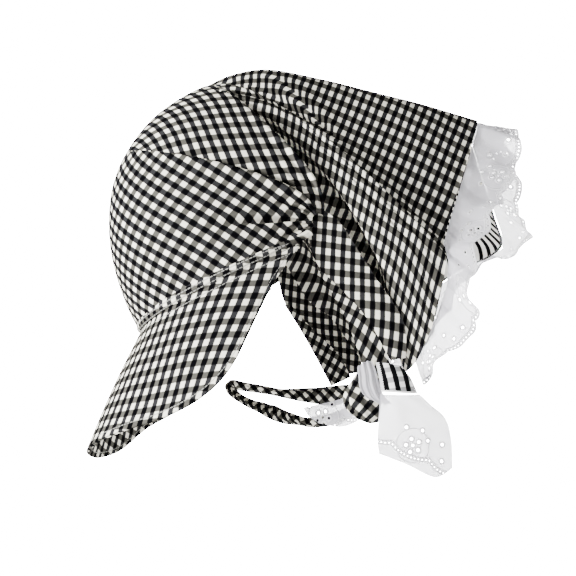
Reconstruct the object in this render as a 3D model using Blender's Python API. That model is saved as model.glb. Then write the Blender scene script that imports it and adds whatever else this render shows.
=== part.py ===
"""Headscarf hat of gingham with a peak, a draped scarf, eyelet lace and a tie under the chin.

The hat stands as it is worn: +Z is up, the peak points to -Y and the wearer's left is +X.
Sizes are in millimetres and are scaled to metres when a solid is made.
"""
import math

import bpy
from mathutils import Vector
from mathutils.geometry import delaunay_2d_cdt

for old in list(bpy.data.objects):
    bpy.data.objects.remove(old, do_unlink=True)

MILLIMETRE = 0.001

# Cloth and lace
CLOTH_THICK = 1.2
PEAK_THICK = 3.0
PEAK_END_THICK = 1.4
BAND_THICK = 2.2
LACE_THICK = 1.0
PIECE_GAP = 0.5

# Crown: ribs fan out from a gather point above each ear and meet on the centre plane
GATHER_X = 82.0
GATHER_Y = 40.0
GATHER_Z = -13.0
GATHER_HALF_ANGLE = 2.2
CROWN_ROWS = 20
FAN_DEGREES = 13.0
CROWN_RIBS = (
    # name, angle at the crest, angle at the gather, reach, bulge, lift, lift fades over (degrees)
    ("front join", 4.1, -10, 138, 15, 0.0, 20),
    ("gather valley 1", 13, 8, 139.5, 15, -1.4, 14),
    ("gather ridge 1", 21, 26, 141.5, 15, 1.4, 16),
    ("gather valley 2", 29, 44, 143.5, 15, -1.8, 18),
    ("gather ridge 2", 37, 64, 146, 14, 2.4, 24),
    ("front cloth", 46, 84, 148.5, 13, 1.2, 26),
    ("fold ridge", 54.5, 101, 149.6, 12, 6.0, 36),
    ("under the fold", 58, 109, 149.4, 12, -3.0, 32),
    ("inner pleat", 69, 124, 148, 11, 1.4, 20),
    ("inner cloth", 79, 139, 145, 10, 0.4, 20),
    ("back lip", 87.5, 153, 142.0, 9, 1.6, 24),
    ("turned edge", 90, 160, 139.0, 8, -2.0, 30),
)

# Peak: spokes run from the join to the stitched edge, from the left ear round to the right ear
PEAK_SPOKES = (
    # angle on the join, edge across, edge back, edge up, lift at mid length
    (8, 86, 17, -21.5, 0.0),
    (13.5, 89.5, 3, -28, 0.4),
    (18, 92.5, -12, -35, 0.8),
    (23, 94.5, -28, -45, 1.4),
    (29, 96, -46, -57, 2.0),
    (36, 95.5, -64, -68.5, 2.6),
    (44, 91, -82, -75.5, 3.0),
    (53, 82, -102, -77.5, 3.2),
    (63, 65, -125, -74.5, 3.0),
    (70, 45, -147, -68, 2.4),
    (80, 22, -165, -64, 1.8),
    (90, 0, -174.5, -65, 1.4),
    (100, -23, -171, -71, 1.8),
    (110, -45, -153, -74, 2.4),
    (117, -65, -127, -69, 3.0),
    (127, -82, -103, -68.5, 3.2),
    (136, -91, -82, -68, 3.0),
    (144, -95.5, -64, -63, 2.6),
    (151, -96, -46, -54, 2.0),
    (157, -94.5, -28, -44, 1.4),
    (162, -92.5, -12, -35, 0.8),
    (166.5, -89.5, 3, -28, 0.4),
    (172, -86, 17, -21.5, 0.0),
)
BAND_HEIGHT = 4.2

# Scarf: each fold runs from the front edge on the crown down to the hem, at even steps
SCARF_FOLDS = (
    # name, then (across, back, up) at the top, shoulder, ear, jaw and hem
    ("tucked edge", (46, 46, 88), (62, 42, 40), (71, 46, -10), (72, 47, -60), (69, 50, -104)),
    ("dark valley", (52, 45, 93), (67, 54, 38), (74, 58, -6), (76, 56, -54), (73, 50, -120)),
    ("pleat ridge 1", (56, 46, 97), (73, 61, 39), (83, 64, -10), (86, 62, -59), (80, 61, -120)),
    ("pleat valley", (56.5, 46.5, 102), (72, 66, 40), (84, 72, -9), (88, 77, -57), (88, 83, -104)),
    ("pleat ridge 2", (55, 45, 107.5), (72, 72, 42), (84, 82, -7), (89, 91, -56), (90, 98, -88)),
    ("outer ridge", (51.5, 43, 110.8), (71, 77, 46), (82, 91, -3), (87, 102, -50), (88, 106, -74)),
    ("under the ridge", (47.5, 41.5, 113.4), (66, 80, 51), (77, 96, 2), (81, 106, -45), (83, 110, -68)),
    ("flap 1", (37.5, 39, 120.2), (54, 79, 84), (62, 103, 41), (68, 128, -3), (69, 149, -37)),
    ("flap 2", (24, 37, 126.2), (37, 75.5, 110.5), (45, 109, 79), (50, 148.5, 38), (49, 190.5, -5)),
    ("flap 3", (12, 35.5, 129.7), (19, 79, 116.5), (24, 115, 84), (27, 155.5, 43.5), (28, 198, 1.5)),
    ("centre ridge", (0, 35, 130.6), (0, 82, 118), (0, 120, 86), (0, 161, 46), (0, 203, 4)),
    ("far flap 3", (-12, 35.5, 129.7), (-19, 79, 116.5), (-24, 117, 81), (-27, 157, 33), (-28, 203, -32)),
    ("far flap 2", (-24, 37, 126.2), (-37, 75.5, 110.5), (-46, 112, 69), (-52, 148, 9), (-48, 203, -62)),
    ("far flap 1", (-37.5, 39, 120.2), (-54, 79, 84), (-62, 104, 36), (-71, 133, -21), (-64, 199, -89)),
    ("far under ridge", (-47.5, 41.5, 113.4), (-66, 80, 51), (-78, 98, -2), (-82, 124, -42), (-80, 174, -87)),
    ("far outer ridge", (-51.5, 43, 110.8), (-71, 77, 46), (-82, 92, -6), (-87, 112, -52), (-87, 144, -88)),
    ("far pleat ridge 2", (-55, 45, 107.5), (-72, 72, 42), (-84, 82, -9), (-89, 94, -60), (-90, 116, -96)),
    ("far pleat valley", (-56.5, 46.5, 102), (-72, 66, 40), (-84, 72, -10), (-88, 78, -60), (-88, 90, -105)),
    ("far pleat ridge 1", (-56, 46, 97), (-73, 61, 39), (-83, 64, -10), (-86, 63, -60), (-82, 68, -112)),
    ("far valley", (-52, 45, 93), (-67, 54, 38), (-74, 58, -6), (-76, 57, -56), (-74, 53, -118)),
    ("far tucked edge", (-46, 46, 88), (-62, 42, 40), (-71, 46, -10), (-72, 47, -60), (-69, 50, -104)),
)
PLEATS_FROM = 1.0
PLEATS_TO = 5.0
PLEAT_COUNT = 4
PLEAT_DEPTHS = (0.0, 0.5, 1.1, 1.6, 1.8)

# Side panel and its facing: rows go down, columns from the face edge to the back seam
PANEL_ROWS = (
    # level, (across, back, up) at the face edge, the middle and the back seam
    ("under the gather", (79.5, 34, -5), (79, 40, -3), (79.5, 47, -6)),
    ("gather", (80.5, 28.5, -17), (82, 40, -18), (83.5, 52, -22)),
    ("temple", (82.5, 23, -38), (85.5, 37, -44), (86.5, 52, -50)),
    ("cheek", (83.5, 28, -62), (86.5, 41, -69), (86.5, 53, -76)),
    ("jaw", (83, 36, -88), (85.5, 46, -94), (84.5, 56, -100)),
    ("tied", (80.5, 38, -113), (82, 43, -115), (81, 48, -117)),
)
FACING_ROWS = (
    # level, (across, back, up) at the face edge, the middle and the fold line
    ("start", (80.5, 21.5, -38), (80.6, 23.5, -40), (80.8, 26, -42)),
    ("cheek", (79.5, 22, -60), (80.2, 26, -63), (81, 31, -67)),
    ("jaw", (77.5, 21, -86), (78.6, 29, -90), (80, 38, -94)),
    ("tied", (75, 19, -114), (76.5, 27, -115), (77.5, 37, -116)),
)

# Lace along the hem: stations follow the folds of the scarf, the outer edge is given
LACE_STATIONS = (
    # fold number at the hem, (across, back, up) of the outer edge
    (1.1, (80, 42, -151)),
    (1.5, (84, 48, -145)),
    (2.0, (92, 57, -140)),
    (2.5, (100, 72, -137)),
    (3.0, (109, 88, -136)),
    (3.5, (112, 92, -126)),
    (4.0, (116, 96, -113)),
    (4.5, (115, 103, -102)),
    (5.0, (110, 112, -94)),
    (6.0, (102, 124, -84)),
    (6.5, (87, 152, -71)),
    (7.0, (73, 175, -61)),
    (7.5, (64, 197, -47)),
    (8.0, (60, 210, -33)),
    (8.5, (50, 216, -27)),
    (9.0, (38, 219, -23)),
    (9.5, (23, 222, -21)),
    (10.0, (8, 224, -20)),
    (10.5, (-12, 229, -38)),
    (11.0, (-32, 228, -60)),
    (11.5, (-48, 220, -76)),
    (12.0, (-61, 229, -92)),
    (12.5, (-80, 224, -98)),
    (13.0, (-93, 213, -96)),
    (13.5, (-97, 198, -92)),
    (14.0, (-100, 178, -92)),
    (15.0, (-104, 154, -105)),
    (16.0, (-102, 130, -117)),
    (17.0, (-98, 108, -126)),
    (18.0, (-92, 88, -134)),
    (19.0, (-84, 66, -140)),
)
LACE_GAP = 0.9
SEAM_STRAIGHT = 9.0
SCALLOP_PITCH = 28.0
SCALLOP_DEPTH = 4.0
LACE_CELL = 15.0

# Broderie: one flower to a scallop, with loose eyelets in the stem above it
EYELET_RADIUS = 1.05
EYELET_SIDES = 5
FLOWER_RADIUS = 4.6
FLOWER_PETALS = 5
FLOWER_INSET = 9.5
STEM_EYELETS = (
    # along from the flower, in from the outer edge
    (-9.0, 19.0),
    (2.0, 21.5),
    (8.5, 17.0),
)

# Strap under the chin, a twisted roll of cloth
STRAP_PATH = (
    # across, back, up, half width, half thickness
    (-77, 38, -127, 9, 2.6),
    (-76, 14, -120.6, 7.5, 2.8),
    (-69, -18, -100, 5.4, 3.0),
    (-58, -52, -74, 4.2, 3.0),
    (-40, -55, -85, 4.4, 3.0),
    (-15, -48, -101, 4.6, 3.2),
    (10, -41, -115, 5.0, 3.2),
    (26, -34, -125, 4.8, 3.2),
    (40, -24, -133, 4.2, 3.2),
    (56, -8, -137, 3.8, 3.2),
    (68.1, 1.5, -135, 3.2, 2.8),
)
STRAP_TURNS = 2.0
STRAP_SIDES = 8
STRAP_STEPS = 30

# Gathered bundle at the jaw
BUNDLE_RINGS = (
    # across, back, up, half width along the jaw, half thickness
    (75.6, 21, -115.4, 5.5, 2.8),
    (76, 11, -124, 10, 5.0),
    (77, 5, -130, 12.5, 6.5),
    (77, 1, -138, 12, 6.5),
    (76, 0, -146, 8, 4.8),
    (75, 1, -152, 3.0, 2.4),
)
BUNDLE_SIDES = 16
BUNDLE_FOLDS = 5
BUNDLE_FOLD_DEPTH = 0.09

# Small sheets at the tie: rows go down, columns from front to back
KNOT_ROWS = (
    ("top", (80.2, 10, -114), (83.2, 15, -113), (82.2, 20, -115)),
    ("upper", (85.2, 6, -120), (88.2, 12, -121), (87.2, 18, -122)),
    ("middle", (86.2, 3, -127), (89.7, 9, -129), (88.7, 15, -131)),
    ("low", (85.2, 4, -134), (88.2, 9, -138), (87.2, 14, -140)),
    ("end", (82.7, 9, -141), (85.2, 13, -145), (84.7, 16, -146)),
)
TAB_ROWS = (
    ("top", (85.6, 21.5, -117), (87.6, 28, -122), (86.6, 35, -128)),
    ("middle", (89.6, 17.5, -126), (91.6, 26, -132), (89.6, 36, -138)),
    ("bottom", (90.6, 13, -136), (92.6, 23, -143), (89.6, 34.5, -150)),
)
TIE_LACE_ROWS = (
    # level, then (across, back, up) at four even steps from front to back
    ("seam", (90.6, 11.5, -137.0), (92.6, 19, -142.2), (92.6, 27, -147.0), (90.1, 35, -150.9)),
    ("upper", (90, 6, -145), (94, 16, -151), (94, 28, -157), (89, 39, -162)),
    ("middle", (89, 0, -154), (93, 12, -163), (96, 25, -169), (90, 41, -175)),
    ("lower", (88, -6, -163), (91, 6, -174), (95, 20, -182), (91, 37, -189)),
    ("scallop", (88, -10, -171), (89, 2, -186), (92, 14, -204), (90, 28, -205)),
)
TIE_LACE_FLOWER = (0.45, 0.66)
TIE_LACE_EYELETS = (
    # part of the width, part of the length
    (0.12, 0.34),
    (0.20, 0.24),
    (0.28, 0.40),
    (0.42, 0.33),
    (0.40, 0.46),
    (0.52, 0.44),
    (0.63, 0.42),
    (0.78, 0.44),
)
UNDER_LACE_ROWS = (
    ("form side", (47, -31, -118), (56, -18, -123), (62, -9, -126), (67, -5, -127)),
    ("middle", (50, -31, -126), (58, -20, -132), (62, -11, -136), (71.0, -5.3, -137)),
    ("outer", (54, -28, -133), (60, -19, -142), (63, -11, -145), (71.4, -4.6, -145)),
)
UNDER_LACE_EYELETS = (
    (0.22, 0.25),
    (0.38, 0.22),
    (0.50, 0.45),
    (0.50, 0.72),
)

# Colours as linear red, green and blue
MATERIALS = {
    "gingham": ((0.30, 0.295, 0.28), 0.86),
    "gingham_dark": ((0.20, 0.20, 0.19), 0.88),
    "stripe": ((0.34, 0.34, 0.33), 0.86),
    "lace": ((0.86, 0.85, 0.87), 0.80),
}


def spline(values, place):
    """Smooth curve through evenly spaced numbers or vectors, read at a fractional index."""
    last = len(values) - 1
    place = min(max(place, 0.0), float(last))
    start = min(int(place), last - 1)
    part = place - start
    before = values[max(start - 1, 0)]
    here = values[start]
    after = values[start + 1]
    beyond = values[min(start + 2, last)]
    return 0.5 * (
        here * 2.0
        + (after - before) * part
        + (before * 2.0 - here * 5.0 + after * 4.0 - beyond) * (part * part)
        + (here * 3.0 - before - after * 3.0 + beyond) * (part * part * part)
    )


def steps(first, last, count):
    """Evenly spaced numbers, both ends included."""
    return [first + (last - first) * i / count for i in range(count + 1)]


def smooth(value):
    """Ease from 0 to 1."""
    value = min(max(value, 0.0), 1.0)
    return value * value * (3.0 - 2.0 * value)


def patch(rows):
    """Surface through rows of points: place(row number, column number)."""
    table = [[Vector(point) for point in row[1:]] for row in rows]

    def place(row, column):
        return spline([spline(line, column) for line in table], row)

    return place


def make_material(name):
    colour, roughness = MATERIALS[name]
    made = bpy.data.materials.new(name)
    made.use_nodes = True
    shader = made.node_tree.nodes["Principled BSDF"]
    shader.inputs["Base Color"].default_value = (*colour, 1.0)
    shader.inputs["Roughness"].default_value = roughness
    shader.inputs["Metallic"].default_value = 0.0
    made.diffuse_color = (*colour, 1.0)
    return made


def make_object(name, points, triangles, material):
    """One closed solid from points in millimetres."""
    mesh = bpy.data.meshes.new(name)
    mesh.from_pydata([tuple(p * MILLIMETRE) for p in points], [], triangles)
    mesh.validate()
    mesh.update()
    made = bpy.data.objects.new(name, mesh)
    bpy.context.scene.collection.objects.link(made)
    own = make_material(material)
    own.name = name + "_" + material
    mesh.materials.append(own)
    return made


def vertex_normals(points, triangles):
    normals = [Vector((0.0, 0.0, 0.0)) for _ in points]
    for a, b, c in triangles:
        face = (points[b] - points[a]).cross(points[c] - points[a])
        for corner in (a, b, c):
            normals[corner] += face
    return [normal.normalized() for normal in normals]


def shell(name, points, triangles, thickness, material):
    """Thicken a surface to both sides and close its edges; thickness is one number or one per point."""
    normals = vertex_normals(points, triangles)
    count = len(points)
    if isinstance(thickness, float):
        thickness = [thickness] * count
    solid_points = [p + n * (t / 2.0) for p, n, t in zip(points, normals, thickness)]
    solid_points += [p - n * (t / 2.0) for p, n, t in zip(points, normals, thickness)]
    faces = list(triangles)
    faces += [(a + count, c + count, b + count) for a, b, c in triangles]
    directed = set()
    for a, b, c in triangles:
        directed.update(((a, b), (b, c), (c, a)))
    for a, b in sorted(directed):
        if (b, a) not in directed:
            faces.append((b, a, a + count))
            faces.append((b, a + count, b + count))
    return make_object(name, solid_points, faces, material)


def grid_triangles(points, rows, columns):
    """Split each cell of a grid along its shorter diagonal."""
    triangles = []
    for i in range(rows - 1):
        for j in range(columns - 1):
            a = i * columns + j
            b = a + 1
            d = a + columns
            c = d + 1
            if (points[a] - points[c]).length < (points[b] - points[d]).length:
                triangles += [(a, b, c), (a, c, d)]
            else:
                triangles += [(a, b, d), (b, c, d)]
    return triangles


def sheet(name, place, rows, columns, thickness, material):
    """Closed sheet on the surface place(row, column)."""
    points = [place(row, column) for row in rows for column in columns]
    triangles = grid_triangles(points, len(rows), len(columns))
    return shell(name, points, triangles, thickness, material)


def crown_place(rib, angle):
    """Crown surface: rib number, then degrees from the near gather (0) to the far one (180)."""
    crest = spline([float(r[1]) for r in CROWN_RIBS], rib)
    gather = spline([float(r[2]) for r in CROWN_RIBS], rib)
    reach = spline([float(r[3]) for r in CROWN_RIBS], rib)
    bulge = spline([float(r[4]) for r in CROWN_RIBS], rib)
    lift = spline([float(r[5]) for r in CROWN_RIBS], rib)
    fade = spline([float(r[6]) for r in CROWN_RIBS], rib)
    side = min(angle, 180.0 - angle)
    turn = math.radians(crest + (gather - crest) * math.exp(-side / FAN_DEGREES))
    swing = math.radians(angle)
    across = GATHER_X * math.cos(swing) + bulge * math.sin(2.0 * swing)
    out = reach * math.sin(swing)
    rise = lift * math.exp(-((side / fade) ** 2)) * smooth((side - 1.0) / 7.0)
    away = Vector((math.cos(swing), -math.cos(turn) * math.sin(swing), math.sin(turn) * math.sin(swing)))
    base = Vector((across, GATHER_Y - math.cos(turn) * out, GATHER_Z + math.sin(turn) * out))
    return base + away * rise


def band_place(level, angle):
    """Join band: level 0 at the top, 1 at the bottom, bulging a little outwards."""
    top = crown_place(0.0, angle)
    outward = Vector((math.cos(math.radians(angle)), -math.sin(math.radians(angle)), 0.0))
    drop = PIECE_GAP + level * BAND_HEIGHT
    bulge = 0.8 * math.sin(math.pi * level)
    return top + outward * bulge + Vector((0.0, 0.0, -drop))


def peak_place(spoke, along):
    """Peak surface: spoke number, then 0 at the join to 1 at the stitched edge."""
    angle = spline([float(s[0]) for s in PEAK_SPOKES], spoke)
    edge = spline([Vector(s[1:4]) for s in PEAK_SPOKES], spoke)
    lift = spline([float(s[4]) for s in PEAK_SPOKES], spoke)
    start = crown_place(0.0, angle)
    outward = Vector((math.cos(math.radians(angle)), -math.sin(math.radians(angle)), 0.0))
    start = start + Vector((0.0, 0.0, -(BAND_HEIGHT + 2.0 * PIECE_GAP + PEAK_END_THICK)))
    crown_side = (outward + Vector((0.0, 0.0, 1.0))).normalized()
    return start.lerp(edge, along) + crown_side * (lift * math.sin(math.pi * along))


scarf_base = patch(SCARF_FOLDS)


def scarf_place(fold, down):
    """Scarf surface with the fine pleats added on both sides; down runs from 0 to 4."""
    last = len(SCARF_FOLDS) - 1
    near = min(fold, last - fold)
    point = scarf_base(fold, down)
    if PLEATS_FROM < near < PLEATS_TO:
        part = (near - PLEATS_FROM) / (PLEATS_TO - PLEATS_FROM)
        wave = 0.5 - 0.5 * math.cos(2.0 * math.pi * PLEAT_COUNT * part)
        strength = spline(PLEAT_DEPTHS, down) * math.sin(math.pi * part) ** 0.5
        if fold < last / 2.0:
            point = point + Vector((wave * 2.0 * strength, 0.0, 0.0))
    return point


def scarf_rows():
    """Fold numbers of the rows of the scarf, closest together across the pleats."""
    rows = [0.0, 0.5, 1.0]
    rows += steps(1.25, 4.75, 14)
    rows += [5.0, 5.4, 6.0, 6.5, 7.0, 8.0, 9.0, 9.6, 10.0, 10.4, 11.0, 11.5, 12.0, 12.5]
    rows += [13.0, 13.5, 14.0, 14.5, 15.0, 15.5, 16.0, 16.5, 17.0, 17.5, 18.0, 18.5, 19.0, 19.5, 20.0]
    return rows


def hem_line(fold):
    """Point on the hem and the direction in which the cloth falls there, along the rows as built."""
    rows = scarf_rows()
    i = 0
    while i < len(rows) - 2 and fold > rows[i + 1]:
        i += 1
    part = (fold - rows[i]) / (rows[i + 1] - rows[i])
    hem = scarf_place(rows[i], 4.0).lerp(scarf_place(rows[i + 1], 4.0), part)
    above = scarf_place(rows[i], 3.8).lerp(scarf_place(rows[i + 1], 3.8), part)
    return hem, (hem - above).normalized()


def lace_outer(station):
    """Outer edge of the lace at a fold number."""
    numbers = [row[0] for row in LACE_STATIONS]
    i = 0
    while i < len(numbers) - 2 and station > numbers[i + 1]:
        i += 1
    part = (station - numbers[i]) / (numbers[i + 1] - numbers[i])
    return spline([Vector(row[1]) for row in LACE_STATIONS], i + part)


def lace_place(station, across):
    """Lace surface: across runs from 0 at the seam to 1 at the outer edge."""
    hem, fall = hem_line(station)
    seam = hem + fall * LACE_GAP
    bend = hem + fall * SEAM_STRAIGHT
    outer = lace_outer(station)
    return seam.lerp(bend, across).lerp(bend.lerp(outer, across), across)


def distance_table(place, start, end, count):
    """Numbers and running lengths along a line."""
    numbers = steps(start, end, count)
    total = 0.0
    lengths = [0.0]
    last = place(numbers[0])
    for number in numbers[1:]:
        here = place(number)
        total += (here - last).length
        lengths.append(total)
        last = here
    return numbers, lengths


def read_off(known, wanted, value):
    """Value of one rising column of a table where another has the given value."""
    i = 0
    while i < len(known) - 2 and value > known[i + 1]:
        i += 1
    part = (value - known[i]) / max(known[i + 1] - known[i], 1e-9)
    return wanted[i] + (wanted[i + 1] - wanted[i]) * min(max(part, 0.0), 1.0)


def pierced(name, outline, inner, holes, place, thickness, material):
    """Flat pattern with round holes, laid on a surface and thickened."""
    flat = [Vector(p) for p in outline]
    edges = [(i, (i + 1) % len(flat)) for i in range(len(flat))]
    for cx, cy, radius in holes:
        first = len(flat)
        for k in range(EYELET_SIDES):
            turn = 2.0 * math.pi * k / EYELET_SIDES
            flat.append(Vector((cx + radius * math.cos(turn), cy + radius * math.sin(turn))))
            edges.append((first + k, first + (k + 1) % EYELET_SIDES))
    for point in inner:
        clear = all(math.hypot(point[0] - h[0], point[1] - h[1]) > h[2] + 2.2 for h in holes)
        if clear:
            flat.append(Vector(point))
    result = delaunay_2d_cdt(flat, edges, [list(range(len(outline)))], 1, 1e-6)
    corners = result[0]
    faces = []
    for face in result[2]:
        middle = sum((corners[i] for i in face), Vector((0.0, 0.0))) / len(face)
        if all(math.hypot(middle.x - h[0], middle.y - h[1]) > h[2] * 0.8 for h in holes):
            faces.append(tuple(face))
    used = sorted({i for face in faces for i in face})
    number = {old: new for new, old in enumerate(used)}
    points = [place(corners[i].x, corners[i].y) for i in used]
    triangles = [tuple(number[i] for i in face) for face in faces]
    return shell(name, points, triangles, thickness, material)


def flower(along, across):
    """Eyelets of one flower: a ring of petals round a centre."""
    rows = [(along, across, EYELET_RADIUS * 0.9)]
    for k in range(FLOWER_PETALS):
        turn = 2.0 * math.pi * k / FLOWER_PETALS + 0.3
        rows.append((along + FLOWER_RADIUS * math.cos(turn), across + FLOWER_RADIUS * math.sin(turn), EYELET_RADIUS))
    return rows


def build_crown():
    """Dome of the hat, gathered at each side."""
    last = len(CROWN_RIBS) - 1
    rows = steps(0.0, last, CROWN_ROWS)
    half = [GATHER_HALF_ANGLE, 6, 9.5, 13.5, 18, 23, 29, 36, 44, 53, 63, 76]
    columns = half + [90] + [180 - a for a in reversed(half)]
    sheet("crown", crown_place, rows, columns, CLOTH_THICK, "gingham")


def build_peak():
    """Arched peak and the band in its join."""
    last = len(PEAK_SPOKES) - 1
    rows = steps(0.0, 8.0, 8) + steps(8.5, last - 8.5, 10) + steps(last - 8.0, last, 8)
    columns = steps(0.0, 1.0, 6)
    thick = []
    for row in rows:
        from_end = min(row, last - row)
        thick += [PEAK_END_THICK + (PEAK_THICK - PEAK_END_THICK) * smooth(from_end / 5.0)] * len(columns)
    points = [peak_place(row, column) for row in rows for column in columns]
    shell("peak", points, grid_triangles(points, len(rows), len(columns)), thick, "gingham")
    columns = [4, 6, 9.5, 13.5, 18, 23, 29, 36, 44, 53, 63, 76, 90]
    columns = columns + [180 - a for a in reversed(columns[:-1])]
    sheet("peak_band", band_place, [0.0, 0.5, 1.0], columns, BAND_THICK, "gingham")


def build_scarf():
    """Draped cloth behind the crown."""
    sheet("scarf", scarf_place, scarf_rows(), steps(0.0, 4.0, 12), CLOTH_THICK, "gingham")


def build_panels():
    """Side panels and their facings, the same on both sides."""
    panel = patch(PANEL_ROWS)
    facing = patch(FACING_ROWS)
    for word, side in (("left", 1.0), ("right", -1.0)):

        def panel_place(row, column, side=side):
            point = panel(row, column)
            return Vector((point.x * side, point.y, point.z))

        def facing_place(row, column, side=side):
            point = facing(row, column)
            return Vector((point.x * side, point.y, point.z))

        sheet("side_panel_" + word, panel_place, steps(0, 5, 13), steps(0, 2, 4), CLOTH_THICK, "gingham")
        sheet("edge_facing_" + word, facing_place, steps(0, 3, 9), steps(0, 2, 2), CLOTH_THICK, "gingham")


def build_hem_lace():
    """Scalloped lace along the whole hem with its eyelets."""
    start = LACE_STATIONS[0][0]
    end = LACE_STATIONS[-1][0]
    numbers, lengths = distance_table(lambda number: lace_place(number, 0.8), start, end, 400)
    length = lengths[-1]
    scallops = round(length / SCALLOP_PITCH)
    pitch = length / scallops
    width = 40.0

    def edge(along):
        return width - SCALLOP_DEPTH * (1.0 - abs(math.sin(math.pi * along / pitch)) ** 0.7)

    def place(along, across):
        return lace_place(read_off(lengths, numbers, along), across / width)

    count = scallops * 4
    hem_rows = [row for row in scarf_rows() if start < row < end]
    outline = [(0.0, 0.0)] + [(read_off(numbers, lengths, row), 0.0) for row in hem_rows] + [(length, 0.0)]
    outline += [(length * i / count, edge(length * i / count)) for i in range(count, -1, -1)]
    inner = []
    columns = int(length / LACE_CELL)
    for i in range(1, columns):
        for j in (1, 2, 3):
            inner.append((length * (i + 0.25 * j) / columns, j * width / 4.4))
    holes = []
    for k in range(scallops):
        middle = (k + 0.5) * pitch
        if k % 2 == 0:
            holes += flower(middle, width - FLOWER_INSET)
        else:
            holes += [(middle - 5.0, width - 8.5, EYELET_RADIUS), (middle + 5.0, width - 8.5, EYELET_RADIUS)]
        for along, across in STEM_EYELETS[: 1 if k % 2 else 3]:
            holes.append((middle + along, width - across, EYELET_RADIUS))
    pierced("hem_lace", outline, inner, holes, place, LACE_THICK, "lace")


def tube(name, rings, material):
    """Closed body through rings of points, ends capped by a centre point."""
    sides = len(rings[0])
    points = [p for ring in rings for p in ring]
    first = sum(rings[0], Vector()) / sides
    last = sum(rings[-1], Vector()) / sides
    points += [first, last]
    triangles = []
    for i in range(len(rings) - 1):
        for j in range(sides):
            a = i * sides + j
            b = i * sides + (j + 1) % sides
            triangles += [(a, b, b + sides), (a, b + sides, a + sides)]
    base = (len(rings) - 1) * sides
    for j in range(sides):
        k = (j + 1) % sides
        triangles.append((k, j, len(points) - 2))
        triangles.append((base + j, base + k, len(points) - 1))
    volume = sum(points[a].dot(points[b].cross(points[c])) for a, b, c in triangles)
    if volume < 0.0:
        triangles = [(a, c, b) for a, b, c in triangles]
    return make_object(name, points, triangles, material)


def build_strap():
    """Twisted strap from the far scarf end, under the chin, to the bundle."""
    path = [Vector(row[:3]) for row in STRAP_PATH]
    last = len(path) - 1
    rings = []
    for step in steps(0.0, last, STRAP_STEPS):
        middle = spline(path, step)
        ahead = (spline(path, min(step + 0.05, last)) - spline(path, max(step - 0.05, 0.0))).normalized()
        side = Vector((0.0, 0.0, 1.0)).cross(ahead).normalized()
        other = ahead.cross(side).normalized()
        half_width = spline([float(row[3]) for row in STRAP_PATH], step)
        half_thick = spline([float(row[4]) for row in STRAP_PATH], step)
        twist = 2.0 * math.pi * STRAP_TURNS * step / last
        ring = []
        for k in range(STRAP_SIDES):
            turn = 2.0 * math.pi * k / STRAP_SIDES
            x = half_width * math.cos(turn)
            y = half_thick * math.sin(turn)
            along_side = x * math.cos(twist) - y * math.sin(twist)
            along_other = x * math.sin(twist) + y * math.cos(twist)
            ring.append(middle + side * along_side + other * along_other)
        rings.append(ring)
    tube("chin_tie", rings, "gingham_dark")


def build_bundle():
    """Gathered cloth at the jaw with lengthwise folds."""
    rings = []
    last = len(BUNDLE_RINGS) - 1
    centres = [Vector(row[:3]) for row in BUNDLE_RINGS]
    for step in steps(0.0, last, last * 2):
        middle = spline(centres, step)
        half_width = spline([float(row[3]) for row in BUNDLE_RINGS], step)
        half_thick = spline([float(row[4]) for row in BUNDLE_RINGS], step)
        ring = []
        for k in range(BUNDLE_SIDES):
            turn = -2.0 * math.pi * k / BUNDLE_SIDES
            fold = 1.0 + BUNDLE_FOLD_DEPTH * math.cos(BUNDLE_FOLDS * turn + 0.6 * step)
            along = half_width * fold * math.cos(turn)
            out = half_thick * fold * math.sin(turn)
            ring.append(middle + Vector((out, along * 0.93, -along * 0.37)))
        rings.append(ring)
    tube("tie_bundle", rings, "gingham")


def build_small_lace(name, rows, holes):
    """Small lace end laid through a table of rows, pierced with eyelets."""
    surface = patch(rows)
    last_row = len(rows) - 1
    last_column = len(rows[0]) - 2
    wide = sum(
        (surface(last_row / 2, (c + 1) / 4.0 * last_column) - surface(last_row / 2, c / 4.0 * last_column)).length
        for c in range(4)
    )
    tall = sum(
        (surface((r + 1) / 6.0 * last_row, last_column / 2) - surface(r / 6.0 * last_row, last_column / 2)).length
        for r in range(6)
    )

    def place(along, across):
        return surface(across / tall * last_row, along / wide * last_column)

    columns = max(3, round(wide / 9.0))
    lines = max(3, round(tall / 9.0))
    outline = [(wide * i / columns, 0.0) for i in range(columns + 1)]
    outline += [(wide, tall * j / lines) for j in range(1, lines + 1)]
    outline += [(wide * i / columns, tall) for i in range(columns - 1, -1, -1)]
    outline += [(0.0, tall * j / lines) for j in range(lines - 1, 0, -1)]
    inner = [(wide * i / columns, tall * j / lines) for i in range(1, columns) for j in range(1, lines)]
    scaled = [(wide * h[0], tall * h[1], EYELET_RADIUS) for h in holes]
    pierced(name, outline, inner, scaled, place, LACE_THICK, "lace")


def build_tie():
    """Pieces of the near tie end."""
    sheet("tie_knot", patch(KNOT_ROWS), steps(0, 4, 8), steps(0, 2, 4), CLOTH_THICK, "lace")
    sheet("tie_tab", patch(TAB_ROWS), steps(0, 2, 5), steps(0, 2, 5), CLOTH_THICK, "stripe")
    flower_rows = [(TIE_LACE_FLOWER[0], TIE_LACE_FLOWER[1])]
    for k in range(FLOWER_PETALS):
        turn = 2.0 * math.pi * k / FLOWER_PETALS + 0.3
        flower_rows.append((TIE_LACE_FLOWER[0] + 0.11 * math.cos(turn), TIE_LACE_FLOWER[1] + 0.07 * math.sin(turn)))
    build_small_lace("tie_lace", TIE_LACE_ROWS, list(TIE_LACE_EYELETS) + flower_rows)
    build_small_lace("under_lace", UNDER_LACE_ROWS, list(UNDER_LACE_EYELETS))


build_crown()
build_peak()
build_scarf()
build_panels()
build_hem_lace()
build_strap()
build_bundle()
build_tie()
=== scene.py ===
"""Looks of the headscarf hat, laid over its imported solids."""

import math

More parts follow.
